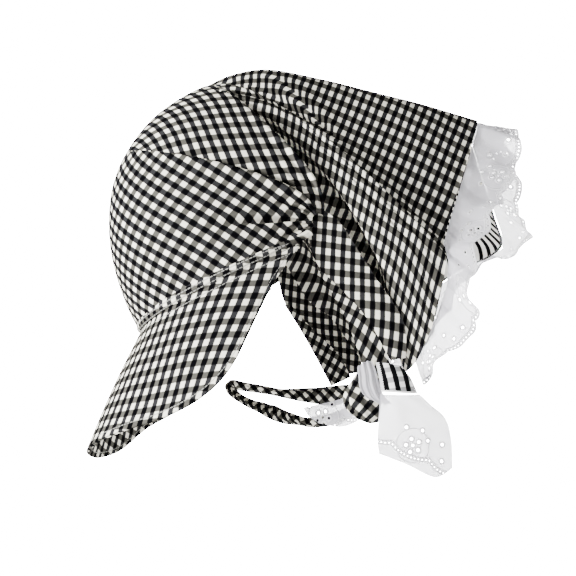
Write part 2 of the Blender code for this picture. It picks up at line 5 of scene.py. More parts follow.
import bmesh
import bpy
import numpy as np
from mathutils import Matrix, Vector


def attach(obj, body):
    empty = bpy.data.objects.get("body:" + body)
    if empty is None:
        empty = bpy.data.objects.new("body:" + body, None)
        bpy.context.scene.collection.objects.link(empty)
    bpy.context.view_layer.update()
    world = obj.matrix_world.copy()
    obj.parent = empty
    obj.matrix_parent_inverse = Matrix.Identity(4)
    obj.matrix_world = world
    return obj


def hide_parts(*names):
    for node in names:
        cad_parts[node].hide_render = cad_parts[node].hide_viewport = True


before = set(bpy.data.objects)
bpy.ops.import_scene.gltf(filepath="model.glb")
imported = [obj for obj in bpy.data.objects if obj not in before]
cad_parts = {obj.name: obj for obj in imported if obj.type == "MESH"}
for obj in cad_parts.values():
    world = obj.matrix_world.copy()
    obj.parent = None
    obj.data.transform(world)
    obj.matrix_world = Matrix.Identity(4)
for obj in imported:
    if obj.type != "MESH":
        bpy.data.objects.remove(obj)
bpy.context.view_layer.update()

MILLIMETRE = 0.001

# Cloth and lace
WALL = 0.9
PEAK_WALL = 2.2
PEAK_END_THICK = 1.4
BAND_WALL = 1.8
LACE_WALL = 0.5
PIECE_GAP = 0.5

# Crown: ribs fan out from a gather point above each ear and meet on the centre plane
GATHER_X = 82.0
GATHER_Y = 40.0
GATHER_Z = -13.0
GATHER_HALF_ANGLE = 2.2
FAN_DEGREES = 13.0
CROWN_RIBS = (
    # name, angle at the crest, angle at the gather, reach, bulge, lift, lift fades over (degrees)
    ("front join", 4.1, -10, 138, 15, 0.0, 20),
    ("gather valley 1", 13, 8, 139.5, 15, -1.4, 14),
    ("gather ridge 1", 21, 26, 141.5, 15, 1.4, 16),
    ("gather valley 2", 29, 44, 143.5, 15, -1.8, 18),
    ("gather ridge 2", 37, 64, 146, 14, 2.4, 24),
    ("front cloth", 46, 84, 148.5, 13, 1.2, 26),
    ("fold ridge", 54.5, 101, 149.6, 12, 6.0, 36),
    ("under the fold", 58, 109, 149.4, 12, -3.0, 32),
    ("inner pleat", 69, 124, 148, 11, 1.4, 20),
    ("inner cloth", 79, 139, 145, 10, 0.4, 20),
    ("back lip", 87.5, 153, 142.0, 9, 1.6, 24),
    ("turned edge", 90, 160, 139.0, 8, -2.0, 30),
)

# Peak: spokes run from the join to the stitched edge, from the left ear round to the right ear
PEAK_SPOKES = (
    # angle on the join, edge across, edge back, edge up, lift at mid length
    (8, 86, 17, -21.5, 0.0),
    (13.5, 89.5, 3, -28, 0.4),
    (18, 92.5, -12, -35, 0.8),
    (23, 94.5, -28, -45, 1.4),
    (29, 96, -46, -57, 2.0),
    (36, 95.5, -64, -68.5, 2.6),
    (44, 91, -82, -75.5, 3.0),
    (53, 82, -102, -77.5, 3.2),
    (63, 65, -125, -74.5, 3.0),
    (70, 45, -147, -68, 2.4),
    (80, 22, -165, -64, 1.8),
    (90, 0, -174.5, -65, 1.4),
    (100, -23, -171, -71, 1.8),
    (110, -45, -153, -74, 2.4),
    (117, -65, -127, -69, 3.0),
    (127, -82, -103, -68.5, 3.2),
    (136, -91, -82, -68, 3.0),
    (144, -95.5, -64, -63, 2.6),
    (151, -96, -46, -54, 2.0),
    (157, -94.5, -28, -44, 1.4),
    (162, -92.5, -12, -35, 0.8),
    (166.5, -89.5, 3, -28, 0.4),
    (172, -86, 17, -21.5, 0.0),
)
BAND_HEIGHT = 4.2

# Scarf: each fold runs from the front edge on the crown down to the hem, at even steps
SCARF_FOLDS = (
    # name, then (across, back, up) at the top, shoulder, ear, jaw and hem
    ("tucked edge", (46, 46, 88), (62, 42, 40), (71, 46, -10), (72, 47, -60), (69, 50, -104)),
    ("dark valley", (52, 45, 93), (67, 54, 38), (74, 58, -6), (76, 56, -54), (73, 50, -120)),
    ("pleat ridge 1", (56, 46, 97), (73, 61, 39), (83, 64, -10), (86, 62, -59), (80, 61, -120)),
    ("pleat valley", (56.5, 46.5, 102), (72, 66, 40), (84, 72, -9), (88, 77, -57), (88, 83, -104)),
    ("pleat ridge 2", (55, 45, 107.5), (72, 72, 42), (84, 82, -7), (89, 91, -56), (90, 98, -88)),
    ("outer ridge", (51.5, 43, 110.8), (71, 77, 46), (82, 91, -3), (87, 102, -50), (88, 106, -74)),
    ("under the ridge", (47.5, 41.5, 113.4), (66, 80, 51), (77, 96, 2), (81, 106, -45), (83, 110, -68)),
    ("flap 1", (37.5, 39, 120.2), (54, 79, 84), (62, 103, 41), (68, 128, -3), (69, 149, -37)),
    ("flap 2", (24, 37, 126.2), (37, 75.5, 110.5), (45, 109, 79), (50, 148.5, 38), (49, 190.5, -5)),
    ("flap 3", (12, 35.5, 129.7), (19, 79, 116.5), (24, 115, 84), (27, 155.5, 43.5), (28, 198, 1.5)),
    ("centre ridge", (0, 35, 130.6), (0, 82, 118), (0, 120, 86), (0, 161, 46), (0, 203, 4)),
    ("far flap 3", (-12, 35.5, 129.7), (-19, 79, 116.5), (-24, 117, 81), (-27, 157, 33), (-28, 203, -32)),
    ("far flap 2", (-24, 37, 126.2), (-37, 75.5, 110.5), (-46, 112, 69), (-52, 148, 9), (-48, 203, -62)),
    ("far flap 1", (-37.5, 39, 120.2), (-54, 79, 84), (-62, 104, 36), (-71, 133, -21), (-64, 199, -89)),
    ("far under ridge", (-47.5, 41.5, 113.4), (-66, 80, 51), (-78, 98, -2), (-82, 124, -42), (-80, 174, -87)),
    ("far outer ridge", (-51.5, 43, 110.8), (-71, 77, 46), (-82, 92, -6), (-87, 112, -52), (-87, 144, -88)),
    ("far pleat ridge 2", (-55, 45, 107.5), (-72, 72, 42), (-84, 82, -9), (-89, 94, -60), (-90, 116, -96)),
    ("far pleat valley", (-56.5, 46.5, 102), (-72, 66, 40), (-84, 72, -10), (-88, 78, -60), (-88, 90, -105)),
    ("far pleat ridge 1", (-56, 46, 97), (-73, 61, 39), (-83, 64, -10), (-86, 63, -60), (-82, 68, -112)),
    ("far valley", (-52, 45, 93), (-67, 54, 38), (-74, 58, -6), (-76, 57, -56), (-74, 53, -118)),
    ("far tucked edge", (-46, 46, 88), (-62, 42, 40), (-71, 46, -10), (-72, 47, -60), (-69, 50, -104)),
)
PLEATS_FROM = 1.0
PLEATS_TO = 5.0
PLEAT_COUNT = 4
PLEAT_DEPTHS = (0.0, 0.5, 1.1, 1.6, 1.8)

# Side panel and its facing: rows go down, columns from the face edge to the back seam
PANEL_ROWS = (
    # level, (across, back, up) at the face edge, the middle and the back seam
    ("under the gather", (79.5, 34, -5), (79, 40, -3), (79.5, 47, -6)),
    ("gather", (80.5, 28.5, -17), (82, 40, -18), (83.5, 52, -22)),
    ("temple", (82.5, 23, -38), (85.5, 37, -44), (86.5, 52, -50)),
    ("cheek", (83.5, 28, -62), (86.5, 41, -69), (86.5, 53, -76)),
    ("jaw", (83, 36, -88), (85.5, 46, -94), (84.5, 56, -100)),
    ("tied", (80.5, 38, -113), (82, 43, -115), (81, 48, -117)),
)
FACING_ROWS = (
    # level, (across, back, up) at the face edge, the middle and the fold line
    ("start", (80.5, 21.5, -38), (80.6, 23.5, -40), (80.8, 26, -42)),
    ("cheek", (79.5, 22, -60), (80.2, 26, -63), (81, 31, -67)),
    ("jaw", (77.5, 21, -86), (78.6, 29, -90), (80, 38, -94)),
    ("tied", (75, 19, -114), (76.5, 27, -115), (77.5, 37, -116)),
)

# Lace along the hem: stations follow the folds of the scarf, the outer edge is given
LACE_STATIONS = (
    # fold number at the hem, (across, back, up) of the outer edge
    (1.1, (80, 42, -151)),
    (1.5, (84, 48, -145)),
    (2.0, (92, 57, -140)),
    (2.5, (100, 72, -137)),
    (3.0, (109, 88, -136)),
    (3.5, (112, 92, -126)),
    (4.0, (116, 96, -113)),
    (4.5, (115, 103, -102)),
    (5.0, (110, 112, -94)),
    (6.0, (102, 124, -84)),
    (6.5, (87, 152, -71)),
    (7.0, (73, 175, -61)),
    (7.5, (64, 197, -47)),
    (8.0, (60, 210, -33)),
    (8.5, (50, 216, -27)),
    (9.0, (38, 219, -23)),
    (9.5, (23, 222, -21)),
    (10.0, (8, 224, -20)),
    (10.5, (-12, 229, -38)),
    (11.0, (-32, 228, -60)),
    (11.5, (-48, 220, -76)),
    (12.0, (-61, 229, -92)),
    (12.5, (-80, 224, -98)),
    (13.0, (-93, 213, -96)),
    (13.5, (-97, 198, -92)),
    (14.0, (-100, 178, -92)),
    (15.0, (-104, 154, -105)),
    (16.0, (-102, 130, -117)),
    (17.0, (-98, 108, -126)),
    (18.0, (-92, 88, -134)),
    (19.0, (-84, 66, -140)),
)
LACE_GAP = 0.9
SEAM_STRAIGHT = 9.0
SCALLOP_PITCH = 28.0
SCALLOP_DEPTH = 4.0
LACE_WIDTH = 40.0

# Broderie: one flower to a scallop, with loose eyelets in the stem above it
EYELET_RADIUS = 1.05
FLOWER_RADIUS = 4.6
FLOWER_PETALS = 5
FLOWER_INSET = 9.5
STEM_EYELETS = (
    # along from the flower, in from the outer edge
    (-9.0, 19.0),
    (2.0, 21.5),
    (8.5, 17.0),
)

# Strap under the chin, a twisted roll of cloth
STRAP_PATH = (
    # across, back, up, half width, half thickness
    (-77, 38, -127, 9, 2.6),
    (-76, 14, -120.6, 7.5, 2.8),
    (-69, -18, -100, 5.4, 3.0),
    (-58, -52, -74, 4.2, 3.0),
    (-40, -55, -85, 4.4, 3.0),
    (-15, -48, -101, 4.6, 3.2),
    (10, -41, -115, 5.0, 3.2),
    (26, -34, -125, 4.8, 3.2),
    (40, -24, -133, 4.2, 3.2),
    (56, -8, -137, 3.8, 3.2),
    (68.1, 1.5, -135, 3.2, 2.8),
)
STRAP_TURNS = 2.0

# Gathered bundle at the jaw
BUNDLE_RINGS = (
    # across, back, up, half width along the jaw, half thickness
    (75.6, 21, -115.4, 5.5, 2.8),
    (76, 11, -124, 10, 5.0),
    (77, 5, -130, 12.5, 6.5),
    (77, 1, -138, 12, 6.5),
    (76, 0, -146, 8, 4.8),
    (75, 1, -152, 3.0, 2.4),
)
BUNDLE_FOLDS = 5
BUNDLE_FOLD_DEPTH = 0.09

# Small sheets at the tie: rows go down, columns from front to back
KNOT_ROWS = (
    ("top", (80.2, 10, -114), (83.2, 15, -113), (82.2, 20, -115)),
    ("upper", (85.2, 6, -120), (88.2, 12, -121), (87.2, 18, -122)),
    ("middle", (86.2, 3, -127), (89.7, 9, -129), (88.7, 15, -131)),
    ("low", (85.2, 4, -134), (88.2, 9, -138), (87.2, 14, -140)),
    ("end", (82.7, 9, -141), (85.2, 13, -145), (84.7, 16, -146)),
)
TAB_ROWS = (
    ("top", (85.6, 21.5, -117), (87.6, 28, -122), (86.6, 35, -128)),
    ("middle", (89.6, 17.5, -126), (91.6, 26, -132), (89.6, 36, -138)),
    ("bottom", (90.6, 13, -136), (92.6, 23, -143), (89.6, 34.5, -150)),
)
TIE_LACE_ROWS = (
    # level, then (across, back, up) at four even steps from front to back
    ("seam", (90.6, 11.5, -137.0), (92.6, 19, -142.2), (92.6, 27, -147.0), (90.1, 35, -150.9)),
    ("upper", (90, 6, -145), (94, 16, -151), (94, 28, -157), (89, 39, -162)),
    ("middle", (89, 0, -154), (93, 12, -163), (96, 25, -169), (90, 41, -175)),
    ("lower", (88, -6, -163), (91, 6, -174), (95, 20, -182), (91, 37, -189)),
    ("scallop", (88, -10, -171), (89, 2, -186), (92, 14, -204), (90, 28, -205)),
)
UNDER_LACE_ROWS = (
    ("form side", (47, -31, -118), (56, -18, -123), (62, -9, -126), (67, -5, -127)),
    ("middle", (50, -31, -126), (58, -20, -132), (62, -11, -136), (71.0, -5.3, -137)),
    ("outer", (54, -28, -133), (60, -19, -142), (63, -11, -145), (71.4, -4.6, -145)),
)


def spline(values, place):
    """Smooth curve through evenly spaced numbers or vectors, read at a fractional index."""
    last = len(values) - 1
    place = min(max(place, 0.0), float(last))
    start = min(int(place), last - 1)
    part = place - start
    before = values[max(start - 1, 0)]
    here = values[start]
    after = values[start + 1]
    beyond = values[min(start + 2, last)]
    return 0.5 * (
        here * 2.0
        + (after - before) * part
        + (before * 2.0 - here * 5.0 + after * 4.0 - beyond) * (part * part)
        + (here * 3.0 - before - after * 3.0 + beyond) * (part * part * part)
    )


def steps(first, last, count):
    """Evenly spaced numbers, both ends included."""
    return [first + (last - first) * i / count for i in range(count + 1)]


def smooth(value):
    """Ease from 0 to 1."""
    value = min(max(value, 0.0), 1.0)
    return value * value * (3.0 - 2.0 * value)


def patch(rows):
    """Surface through rows of points: place(row number, column number)."""
    table = [[Vector(point) for point in row[1:]] for row in rows]

    def place(row, column):
        return spline([spline(line, column) for line in table], row)

    return place


def column(table, number, place):
    """One column of a table of numbers, read at a fractional row."""
    return spline([float(row[number]) for row in table], place)


def crown_place(rib, angle):
    """Crown surface: rib number, then degrees from the near gather (0) to the far one (180)."""
    crest, gather, reach, bulge, lift, fade = (column(CROWN_RIBS, number, rib) for number in range(1, 7))
    side = min(angle, 180.0 - angle)
    turn = math.radians(crest + (gather - crest) * math.exp(-side / FAN_DEGREES))
    swing = math.radians(angle)
    across = GATHER_X * math.cos(swing) + bulge * math.sin(2.0 * swing)
    out = reach * math.sin(swing)
    rise = lift * math.exp(-((side / fade) ** 2)) * smooth((side - 1.0) / 7.0)
    away = Vector((math.cos(swing), -math.cos(turn) * math.sin(swing), math.sin(turn) * math.sin(swing)))
    base = Vector((across, GATHER_Y - math.cos(turn) * out, GATHER_Z + math.sin(turn) * out))
    return base + away * rise


def outward_at(angle):
    """Level direction away from the middle of the head."""
    return Vector((math.cos(math.radians(angle)), -math.sin(math.radians(angle)), 0.0))


def band_place(level, angle):
    """Join band: level 0 at the top, 1 at the bottom, bulging a little outwards."""
    top = crown_place(0.0, angle)
    drop = PIECE_GAP + level * BAND_HEIGHT
    bulge = 0.8 * math.sin(math.pi * level)
    return top + outward_at(angle) * bulge + Vector((0.0, 0.0, -drop))


def peak_place(spoke, along):
    """Peak surface: spoke number, then 0 at the join to 1 at the stitched edge."""
    angle = column(PEAK_SPOKES, 0, spoke)
    edge = spline([Vector(s[1:4]) for s in PEAK_SPOKES], spoke)
    lift = column(PEAK_SPOKES, 4, spoke)
    start = crown_place(0.0, angle)
    start = start + Vector((0.0, 0.0, -(BAND_HEIGHT + 2.0 * PIECE_GAP + PEAK_END_THICK)))
    crown_side = (outward_at(angle) + Vector((0.0, 0.0, 1.0))).normalized()
    return start.lerp(edge, along) + crown_side * (lift * math.sin(math.pi * along))


scarf_base = patch(SCARF_FOLDS)


def scarf_place(fold, down):
    """Scarf surface with the fine pleats added on the near side; down runs from 0 to 4."""
    last = len(SCARF_FOLDS) - 1
    near = min(fold, last - fold)
    point = scarf_base(fold, down)
    if PLEATS_FROM < near < PLEATS_TO:
        part = (near - PLEATS_FROM) / (PLEATS_TO - PLEATS_FROM)
        wave = 0.5 - 0.5 * math.cos(2.0 * math.pi * PLEAT_COUNT * part)
        strength = spline(PLEAT_DEPTHS, down) * math.sin(math.pi * part) ** 0.5
        if fold < last / 2.0:
            point = point + Vector((wave * 2.0 * strength, 0.0, 0.0))
    return point


def scarf_rows():
    """Fold numbers of the rows of the scarf, closest together across the pleats."""
    rows = [0.0, 0.5, 1.0]
    rows += steps(1.25, 4.75, 14)
    rows += [5.0, 5.4, 6.0, 6.5, 7.0, 8.0, 9.0, 9.6, 10.0, 10.4]
    return rows + steps(11.0, 20.0, 18)


def hem_line(fold):
    """Point on the hem and the direction in which the cloth falls there, along the rows as built."""
    rows = scarf_rows()
    i = 0
    while i < len(rows) - 2 and fold > rows[i + 1]:
        i += 1
    part = (fold - rows[i]) / (rows[i + 1] - rows[i])
    hem = scarf_place(rows[i], 4.0).lerp(scarf_place(rows[i + 1], 4.0), part)
    above = scarf_place(rows[i], 3.8).lerp(scarf_place(rows[i + 1], 3.8), part)
    return hem, (hem - above).normalized()


def lace_outer(station):
    """Outer edge of the lace at a fold number."""
    numbers = [row[0] for row in LACE_STATIONS]
    i = 0
    while i < len(numbers) - 2 and station > numbers[i + 1]:
        i += 1
    part = (station - numbers[i]) / (numbers[i + 1] - numbers[i])
    return spline([Vector(row[1]) for row in LACE_STATIONS], i + part)


def lace_place(station, across):
    """Lace surface: across runs from 0 at the seam to 1 at the outer edge."""
    hem, fall = hem_line(station)
    seam = hem + fall * LACE_GAP
    bend = hem + fall * SEAM_STRAIGHT
    outer = lace_outer(station)
    return seam.lerp(bend, across).lerp(bend.lerp(outer, across), across)


def distance_table(place, start, end, count):
    """Numbers and running lengths along a line."""
    numbers = steps(start, end, count)
    total = 0.0
    lengths = [0.0]
    last = place(numbers[0])
    for number in numbers[1:]:
        here = place(number)
        total += (here - last).length
        lengths.append(total)
        last = here
    return numbers, lengths


def read_off(known, wanted, value):
    """Value of one rising column of a table where another has the given value."""
    i = 0
    while i < len(known) - 2 and value > known[i + 1]:
        i += 1
    part = (value - known[i]) / max(known[i + 1] - known[i], 1e-9)
    return wanted[i] + (wanted[i + 1] - wanted[i]) * min(max(part, 0.0), 1.0)


# Looks: finer surfaces from the same tables, with the weave laid along the cloth

# Camera
VIEW_SIDE_DEGREES = 12.0
VIEW_BELOW_DEGREES = -5.0
VIEW_ROLL_DEGREES = 31.0
VIEW_DISTANCE = 1000.0
VIEW_TARGET = Vector((0.0, 14.0, -35.0))
VIEW_LENS = 83.1

# Thread directions on each flattened panel
GRAIN = {
    # direction of the dark count in degrees, its period, direction of the light count, its period
    "crown_front": (-53, 7.9, -139, 9.5),
    "crown_back": (-63, 7.4, -136, 9.8),
    "peak": (-57, 7.7, 14, 9.0),
    "scarf_pleats": (43, 5.3, -70, 8.8),
    "scarf_back": (-14, 6.5, -106, 10.8),
    "side_panel": (29, 6.9, 124, 9.2),
    "edge_facing": (52, 6.4, 148, 8.8),
}
PEAK_TURN_PER_SPOKE = 5.1
PEAK_TURN_FROM = 5.1
PEAK_TURN_ENDS = (2.0, 11.0)
CROWN_TURN_FROM = 45.0
CROWN_TURN_RATE = 0.9
THREADS_PER_PERIOD = 14

# Rolled cloth of the tie
ROLL_GRAIN = math.radians(38.0)
STRAP_PERIOD = 8.0
BUNDLE_PERIOD = 8.6

# Part of its height by which the band reaches under its neighbours
BAND_LAP = 0.4

# Laps under the crown, and pulls towards the knot, as (across, back, up)
TOP_LAP = (0.0, -6.0, -2.0)
SIDE_LAP = (2.5, -9.0, -2.5)
SCARF_PULL = (-1.5, -13.0, -11.0)
PANEL_PULL = (-1.5, -5.0, -8.0)

# Main fold of the crown: its place in ribs, where it starts, the ridge before it and the drop behind it
FOLD_ROW = 6.45
FOLD_START = 57.0
FOLD_RIDGE = 1.6
FOLD_DROP = 3.6

# Creases on the crown that run into the gathers
CREASES = (
    # rib far out, rib at the gather, starts at degrees, depth, half width in ribs
    (0.65, 0.9, 24, 1.6, 0.22),
    (1.6, 1.7, 15, 1.4, 0.18),
    (2.5, 2.8, 44, 5.6, 0.34),
    (3.7, 3.9, 16, 1.8, 0.22),
    (4.6, 4.5, 20, 2.0, 0.24),
    (5.75, 5.35, 14, 2.6, 0.22),
    (7.6, 7.0, 22, 1.2, 0.28),
    (8.6, 8.0, 40, 1.2, 0.34),
    (9.7, 9.3, 60, 1.4, 0.36),
)

# Shape of the pleats behind the crown, from the crown's edge to the flat back
PLEAT_PROFILE = (
    # fold, height in millimetres
    (0.0, 0.5),
    (0.3, -9.0),
    (0.8, -13.0),
    (1.3, -7.0),
    (1.9, -1.6),
    (2.6, 0.8),
    (3.5, 1.6),
    (3.62, 0.4),
    (4.05, 1.8),
    (4.17, 0.5),
    (4.6, 2.0),
    (4.75, 0.0),
    (6.0, 0.0),
)
PLEAT_STRENGTHS = (0.12, 0.6, 0.9, 0.9, 0.6)
FAR_PLEATS = 0.2
PLEAT_END = 4.65
TOP_SPREAD = (
    # down, how many folds further back the last pleat lies
    (0.0, 4.1),
    (0.4, 2.1),
    (0.7, 1.2),
    (1.1, 0.0),
    (4.0, 0.0),
)

# Striped inner side of the far hem: folds it runs between and where it starts on the way down
FAR_FACING_FROM = 11.6
FAR_FACING_TO = 16.5
FAR_FACING_DOWN = 2.9

# Hanging lace: place of its flower on the flat piece, turn of its scalloped edge, and edge of its pattern
TIE_FLOWER = (15.9, 37.9)
TIE_EDGE_TURN = math.radians(33.0)
TIE_LACE_WIDTH = 60.0

# Stripes and edges of the tab, in millimetres
STRIPE_PERIOD = 7.5
FIRST_STRIPE = 2.7
OVERLOCK_WIDTH = 2.6
FRAYED_WIDTH = 1.9

# Rows of stitches, from the edge
PEAK_STITCH = 4.0
BAND_STITCH = 1.1
STITCH_LENGTH = 3.0

# Colours
BLACK = (0.0008, 0.0008, 0.0012, 1.0)
WHITE = (0.90, 0.87, 0.73, 1.0)
YARN_SHADE = (0.45, 0.44, 0.40, 1.0)
DARK_GREY = (0.016, 0.016, 0.017, 1.0)
LIGHT_GREY = (0.056, 0.054, 0.047, 1.0)
# Painted shade that darkens the groove a row of stitches sinks into the cloth
STITCH_PAINTED_SHADE = (0.02, 0.02, 0.02, 1.0)
STITCH_THREAD = (0.30, 0.30, 0.28, 1.0)
FACING_WHITE = (0.80, 0.79, 0.74, 1.0)
TAB_WHITE = (0.86, 0.86, 0.84, 1.0)
TAB_GREY = (0.30, 0.30, 0.30, 1.0)
FRAYED_WHITE = (0.92, 0.92, 0.91, 1.0)
LACE_GROUND = (0.55, 0.54, 0.58, 1.0)
LACE_THREAD = (1.0, 0.99, 1.0, 1.0)
LACE_LIT_THROUGH = (0.85, 0.84, 0.87, 1.0)

# Eyelets between two flowers, as (along from the middle, in from the outer edge)
PAIR_EYELETS = ((-5.0, 8.5), (5.0, 8.5))
STEM_RADIUS = 11.5
BEAD_PITCH = 2.5
BEAD_INSET = 1.7
RIM_CORDS = (0.5, 3.4)

# Studio
FLOOR_HALF_SIZE = 6.0
FLOOR_LEVEL = -0.60
WORLD_LIGHT = 0.2
SEEN_BRIGHTNESS = 40.0
LIGHTS = (
    # name, place, aim, size in metres, watts
    ("key", (0.62, -1.5, 0.95), (0.0, 0.02, 0.0), 0.45, 215.0),
    ("fill", (1.6, 0.5, 0.6), (0.0, 0.02, 0.0), 1.0, 11.0),
    ("far", (-1.2, 0.9, 0.5), (0.0, 0.05, 0.0), 1.0, 40.0),
)


def catmull(values, place):
    """Smooth curve through rows of an array at many fractional indices."""
    last = len(values) - 1
    place = np.clip(place, 0.0, last)
    start = np.minimum(place.astype(int), last - 1)
    part = (place - start).reshape((-1,) + (1,) * (values.ndim - 1))
    before = values[np.maximum(start - 1, 0)]
    here = values[start]
    after = values[start + 1]
    beyond = values[np.minimum(start + 2, last)]
    return 0.5 * (
        here * 2.0
        + (after - before) * part
        + (before * 2.0 - here * 5.0 + after * 4.0 - beyond) * part**2
        + (here * 3.0 - before - after * 3.0 + beyond) * part**3
    )


def resample(grid, rows, columns):
    """Grid of points read at fractional row and column numbers."""
    finer = catmull(grid, np.asarray(rows, float))
    return np.swapaxes(catmull(np.swapaxes(finer, 0, 1), np.asarray(columns, float)), 0, 1)


def lattice(place, rows, columns):
    """Array of points of a surface at the given row and column numbers."""
    return np.array([[place(row, column) for column in columns] for row in rows], float)


def grid_normals(points):
    along = np.gradient(points, axis=0)
    across = np.gradient(points, axis=1)
    normal = np.cross(along, across)
    size = np.linalg.norm(normal, axis=2, keepdims=True)
    return normal / np.maximum(size, 1e-9)


def flatten(points, turned=None, rounds=12):
    """Lay a curved grid flat with as little stretch as it allows; gives millimetres.

    turned may give extra degrees of turn for each point of the grid.
    """
    m, n = points.shape[:2]
    index = np.arange(m * n).reshape(m, n)
    a, b, c, d = index[:-1, :-1], index[:-1, 1:], index[1:, 1:], index[1:, :-1]
    halves = ((a, b, c), (a, c, d), (a, b, d), (b, c, d))
    triangles = np.concatenate([np.stack(half, -1).reshape(-1, 3) for half in halves])
    flat_points = points.reshape(-1, 3)
    corner = flat_points[triangles]
    first = corner[:, 1] - corner[:, 0]
    second = corner[:, 2] - corner[:, 0]
    length = np.maximum(np.linalg.norm(first, axis=1), 1e-6)
    x2 = (first * second).sum(1) / length
    y2 = np.linalg.norm(np.cross(first, second), axis=1) / length
    zero = np.zeros_like(length)
    local = np.stack([np.stack([zero, zero], 1), np.stack([length, zero], 1), np.stack([x2, y2], 1)], 1)
    area = np.maximum(length * y2, 1e-3)
    edges = []
    for i, j in ((0, 1), (1, 2), (2, 0)):
        edges.append((triangles[:, i], triangles[:, j], local[:, j] - local[:, i]))
    count = m * n
    matrix = np.zeros((count, count))
    for i, j, span in edges:
        weight = area / np.maximum((span**2).sum(1), 0.05)
        np.add.at(matrix, (i, i), weight)
        np.add.at(matrix, (j, j), weight)
        np.add.at(matrix, (i, j), -weight)
        np.add.at(matrix, (j, i), -weight)
    matrix[0, 0] += 1.0
    inverse = np.linalg.inv(matrix)
    rows = np.linalg.norm(np.diff(points, axis=0), axis=2).mean(1)
    columns = np.linalg.norm(np.diff(points, axis=1), axis=2)
    across = np.concatenate([np.zeros((m, 1)), np.cumsum(columns, 1)], 1)
    across -= across[:, n // 2 : n // 2 + 1]
    down = np.concatenate([[0.0], np.cumsum(rows)])
    flat = np.stack([across, np.repeat(down[:, None], n, 1)], -1).reshape(-1, 2)
    for step in range(rounds):
        covariance = np.zeros((len(triangles), 2, 2))
        for i, j, span in edges:
            covariance += (flat[j] - flat[i])[:, :, None] * span[:, None, :]
        angle = np.arctan2(
            covariance[:, 1, 0] - covariance[:, 0, 1],
            covariance[:, 0, 0] + covariance[:, 1, 1],
        )
        if turned is not None and step == rounds - 1:
            angle = angle + np.radians(np.broadcast_to(turned, (m, n)).ravel())[triangles[:, 0]]
        cosine, sine = np.cos(angle), np.sin(angle)
        turn = np.stack([np.stack([cosine, -sine], 1), np.stack([sine, cosine], 1)], 1)
        right = np.zeros((count, 2))
        for i, j, span in edges:
            weight = area / np.maximum((span**2).sum(1), 0.05)
            wanted = np.einsum("tij,tj->ti", turn, span) * weight[:, None]
            np.add.at(right, j, wanted)
            np.add.at(right, i, -wanted)
        flat = inverse @ right
    return flat.reshape(m, n, 2)


def noise_field(x, y, seed, scale):
    """Smooth even noise from -1 to 1 made of a few crossed waves."""
    state = np.random.RandomState(seed)
    total = np.zeros_like(x)
    for _ in range(7):
        angle = state.uniform(0.0, 2.0 * math.pi)
        rate = state.uniform(0.6, 1.5) * 2.0 * math.pi / scale
        total += np.sin(rate * (x * math.cos(angle) + y * math.sin(angle)) + state.uniform(0.0, 6.28))
    return total / 7.0


def add_object(name, data):
    made = bpy.data.objects.new(name, data)
    bpy.context.scene.collection.objects.link(made)
    return made


def add_coordinates(mesh, name, values):
    """Flat coordinates for each corner of each face, in one layer."""
    layer = mesh.uv_layers.new(name=name)
    layer.data.foreach_set("uv", values.astype(np.float32).ravel())


def cloth(name, points, uv, wall, breaks=(), lift=None):
    """Closed cloth from a grid of points, with flat coordinates on both sides.

    breaks lists row numbers where the flat coordinates change from one panel to the next;
    uv is then a list of grids, one for each panel.
    """
    m, n = points.shape[:2]
    normal = grid_normals(points)
    if lift is not None:
        points = points + normal * lift[..., None]
        normal = grid_normals(points)
    outer = points + normal * (wall / 2.0)
    inner = points - normal * (wall / 2.0)
    vertices = np.concatenate([outer.reshape(-1, 3), inner.reshape(-1, 3)]) * MILLIMETRE
    index = np.arange(m * n).reshape(m, n)
    a, b, c, d = index[:-1, :-1], index[:-1, 1:], index[1:, 1:], index[1:, :-1]
    top = np.stack([a, d, c, b], -1).reshape(-1, 4)
    if np.dot(np.cross(points[1, 0] - points[0, 0], points[0, 1] - points[0, 0]), normal[0, 0]) < 0:
        top = top[:, ::-1]
    low = top[:, ::-1] + m * n
    ring = np.concatenate([index[0, :], index[1:, -1], index[-1, -2::-1], index[-2:0:-1, 0]])
    after = np.roll(ring, -1)
    side = np.stack([ring, ring + m * n, after + m * n, after], -1)
    faces = np.concatenate([top, low, side])
    mesh = bpy.data.meshes.new(name)
    mesh.vertices.add(len(vertices))
    mesh.vertices.foreach_set("co", vertices.astype(np.float32).ravel())
    mesh.loops.add(len(faces) * 4)
    mesh.loops.foreach_set("vertex_index", faces.astype(np.int32).ravel())
    mesh.polygons.add(len(faces))
    mesh.polygons.foreach_set("loop_start", np.arange(len(faces), dtype=np.int32) * 4)
    mesh.update(calc_edges=True)
    mesh.validate()
    grids = list(uv) if isinstance(uv, (list, tuple)) else [uv]
    edges = [0] + list(breaks) + [m - 1]
    face_row = np.concatenate([np.repeat(np.arange(m - 1), n - 1)] * 2 + [np.minimum(side[:, 0] // n, m - 2)])
    corners = faces % (m * n)
    coordinates = np.zeros((len(faces), 4, 2))
    for grid, first, last in zip(grids, edges[:-1], edges[1:]):
        mask = (face_row >= first) & (face_row < last)
        coordinates[mask] = grid.reshape(-1, 2)[corners[mask]]
    add_coordinates(mesh, "threads", coordinates)
    rim = np.zeros((m, n, 2))
    steps_down = np.linalg.norm(np.diff(points, axis=0), axis=2)
    steps_across = np.linalg.norm(np.diff(points, axis=1), axis=2)
    from_top = np.concatenate([np.zeros((1, n)), np.cumsum(steps_down, 0)])
    from_left = np.concatenate([np.zeros((m, 1)), np.cumsum(steps_across, 1)], 1)
    rim[..., 0] = np.minimum(from_left, from_left[:, -1:] - from_left)
    rim[..., 1] = np.minimum(from_top, from_top[-1:, :] - from_top)
    add_coordinates(mesh, "rims", rim.reshape(-1, 2)[corners])
    mesh.polygons.foreach_set("use_smooth", np.ones(len(faces), dtype=bool))
    mesh.update()
    return add_object(name, mesh)


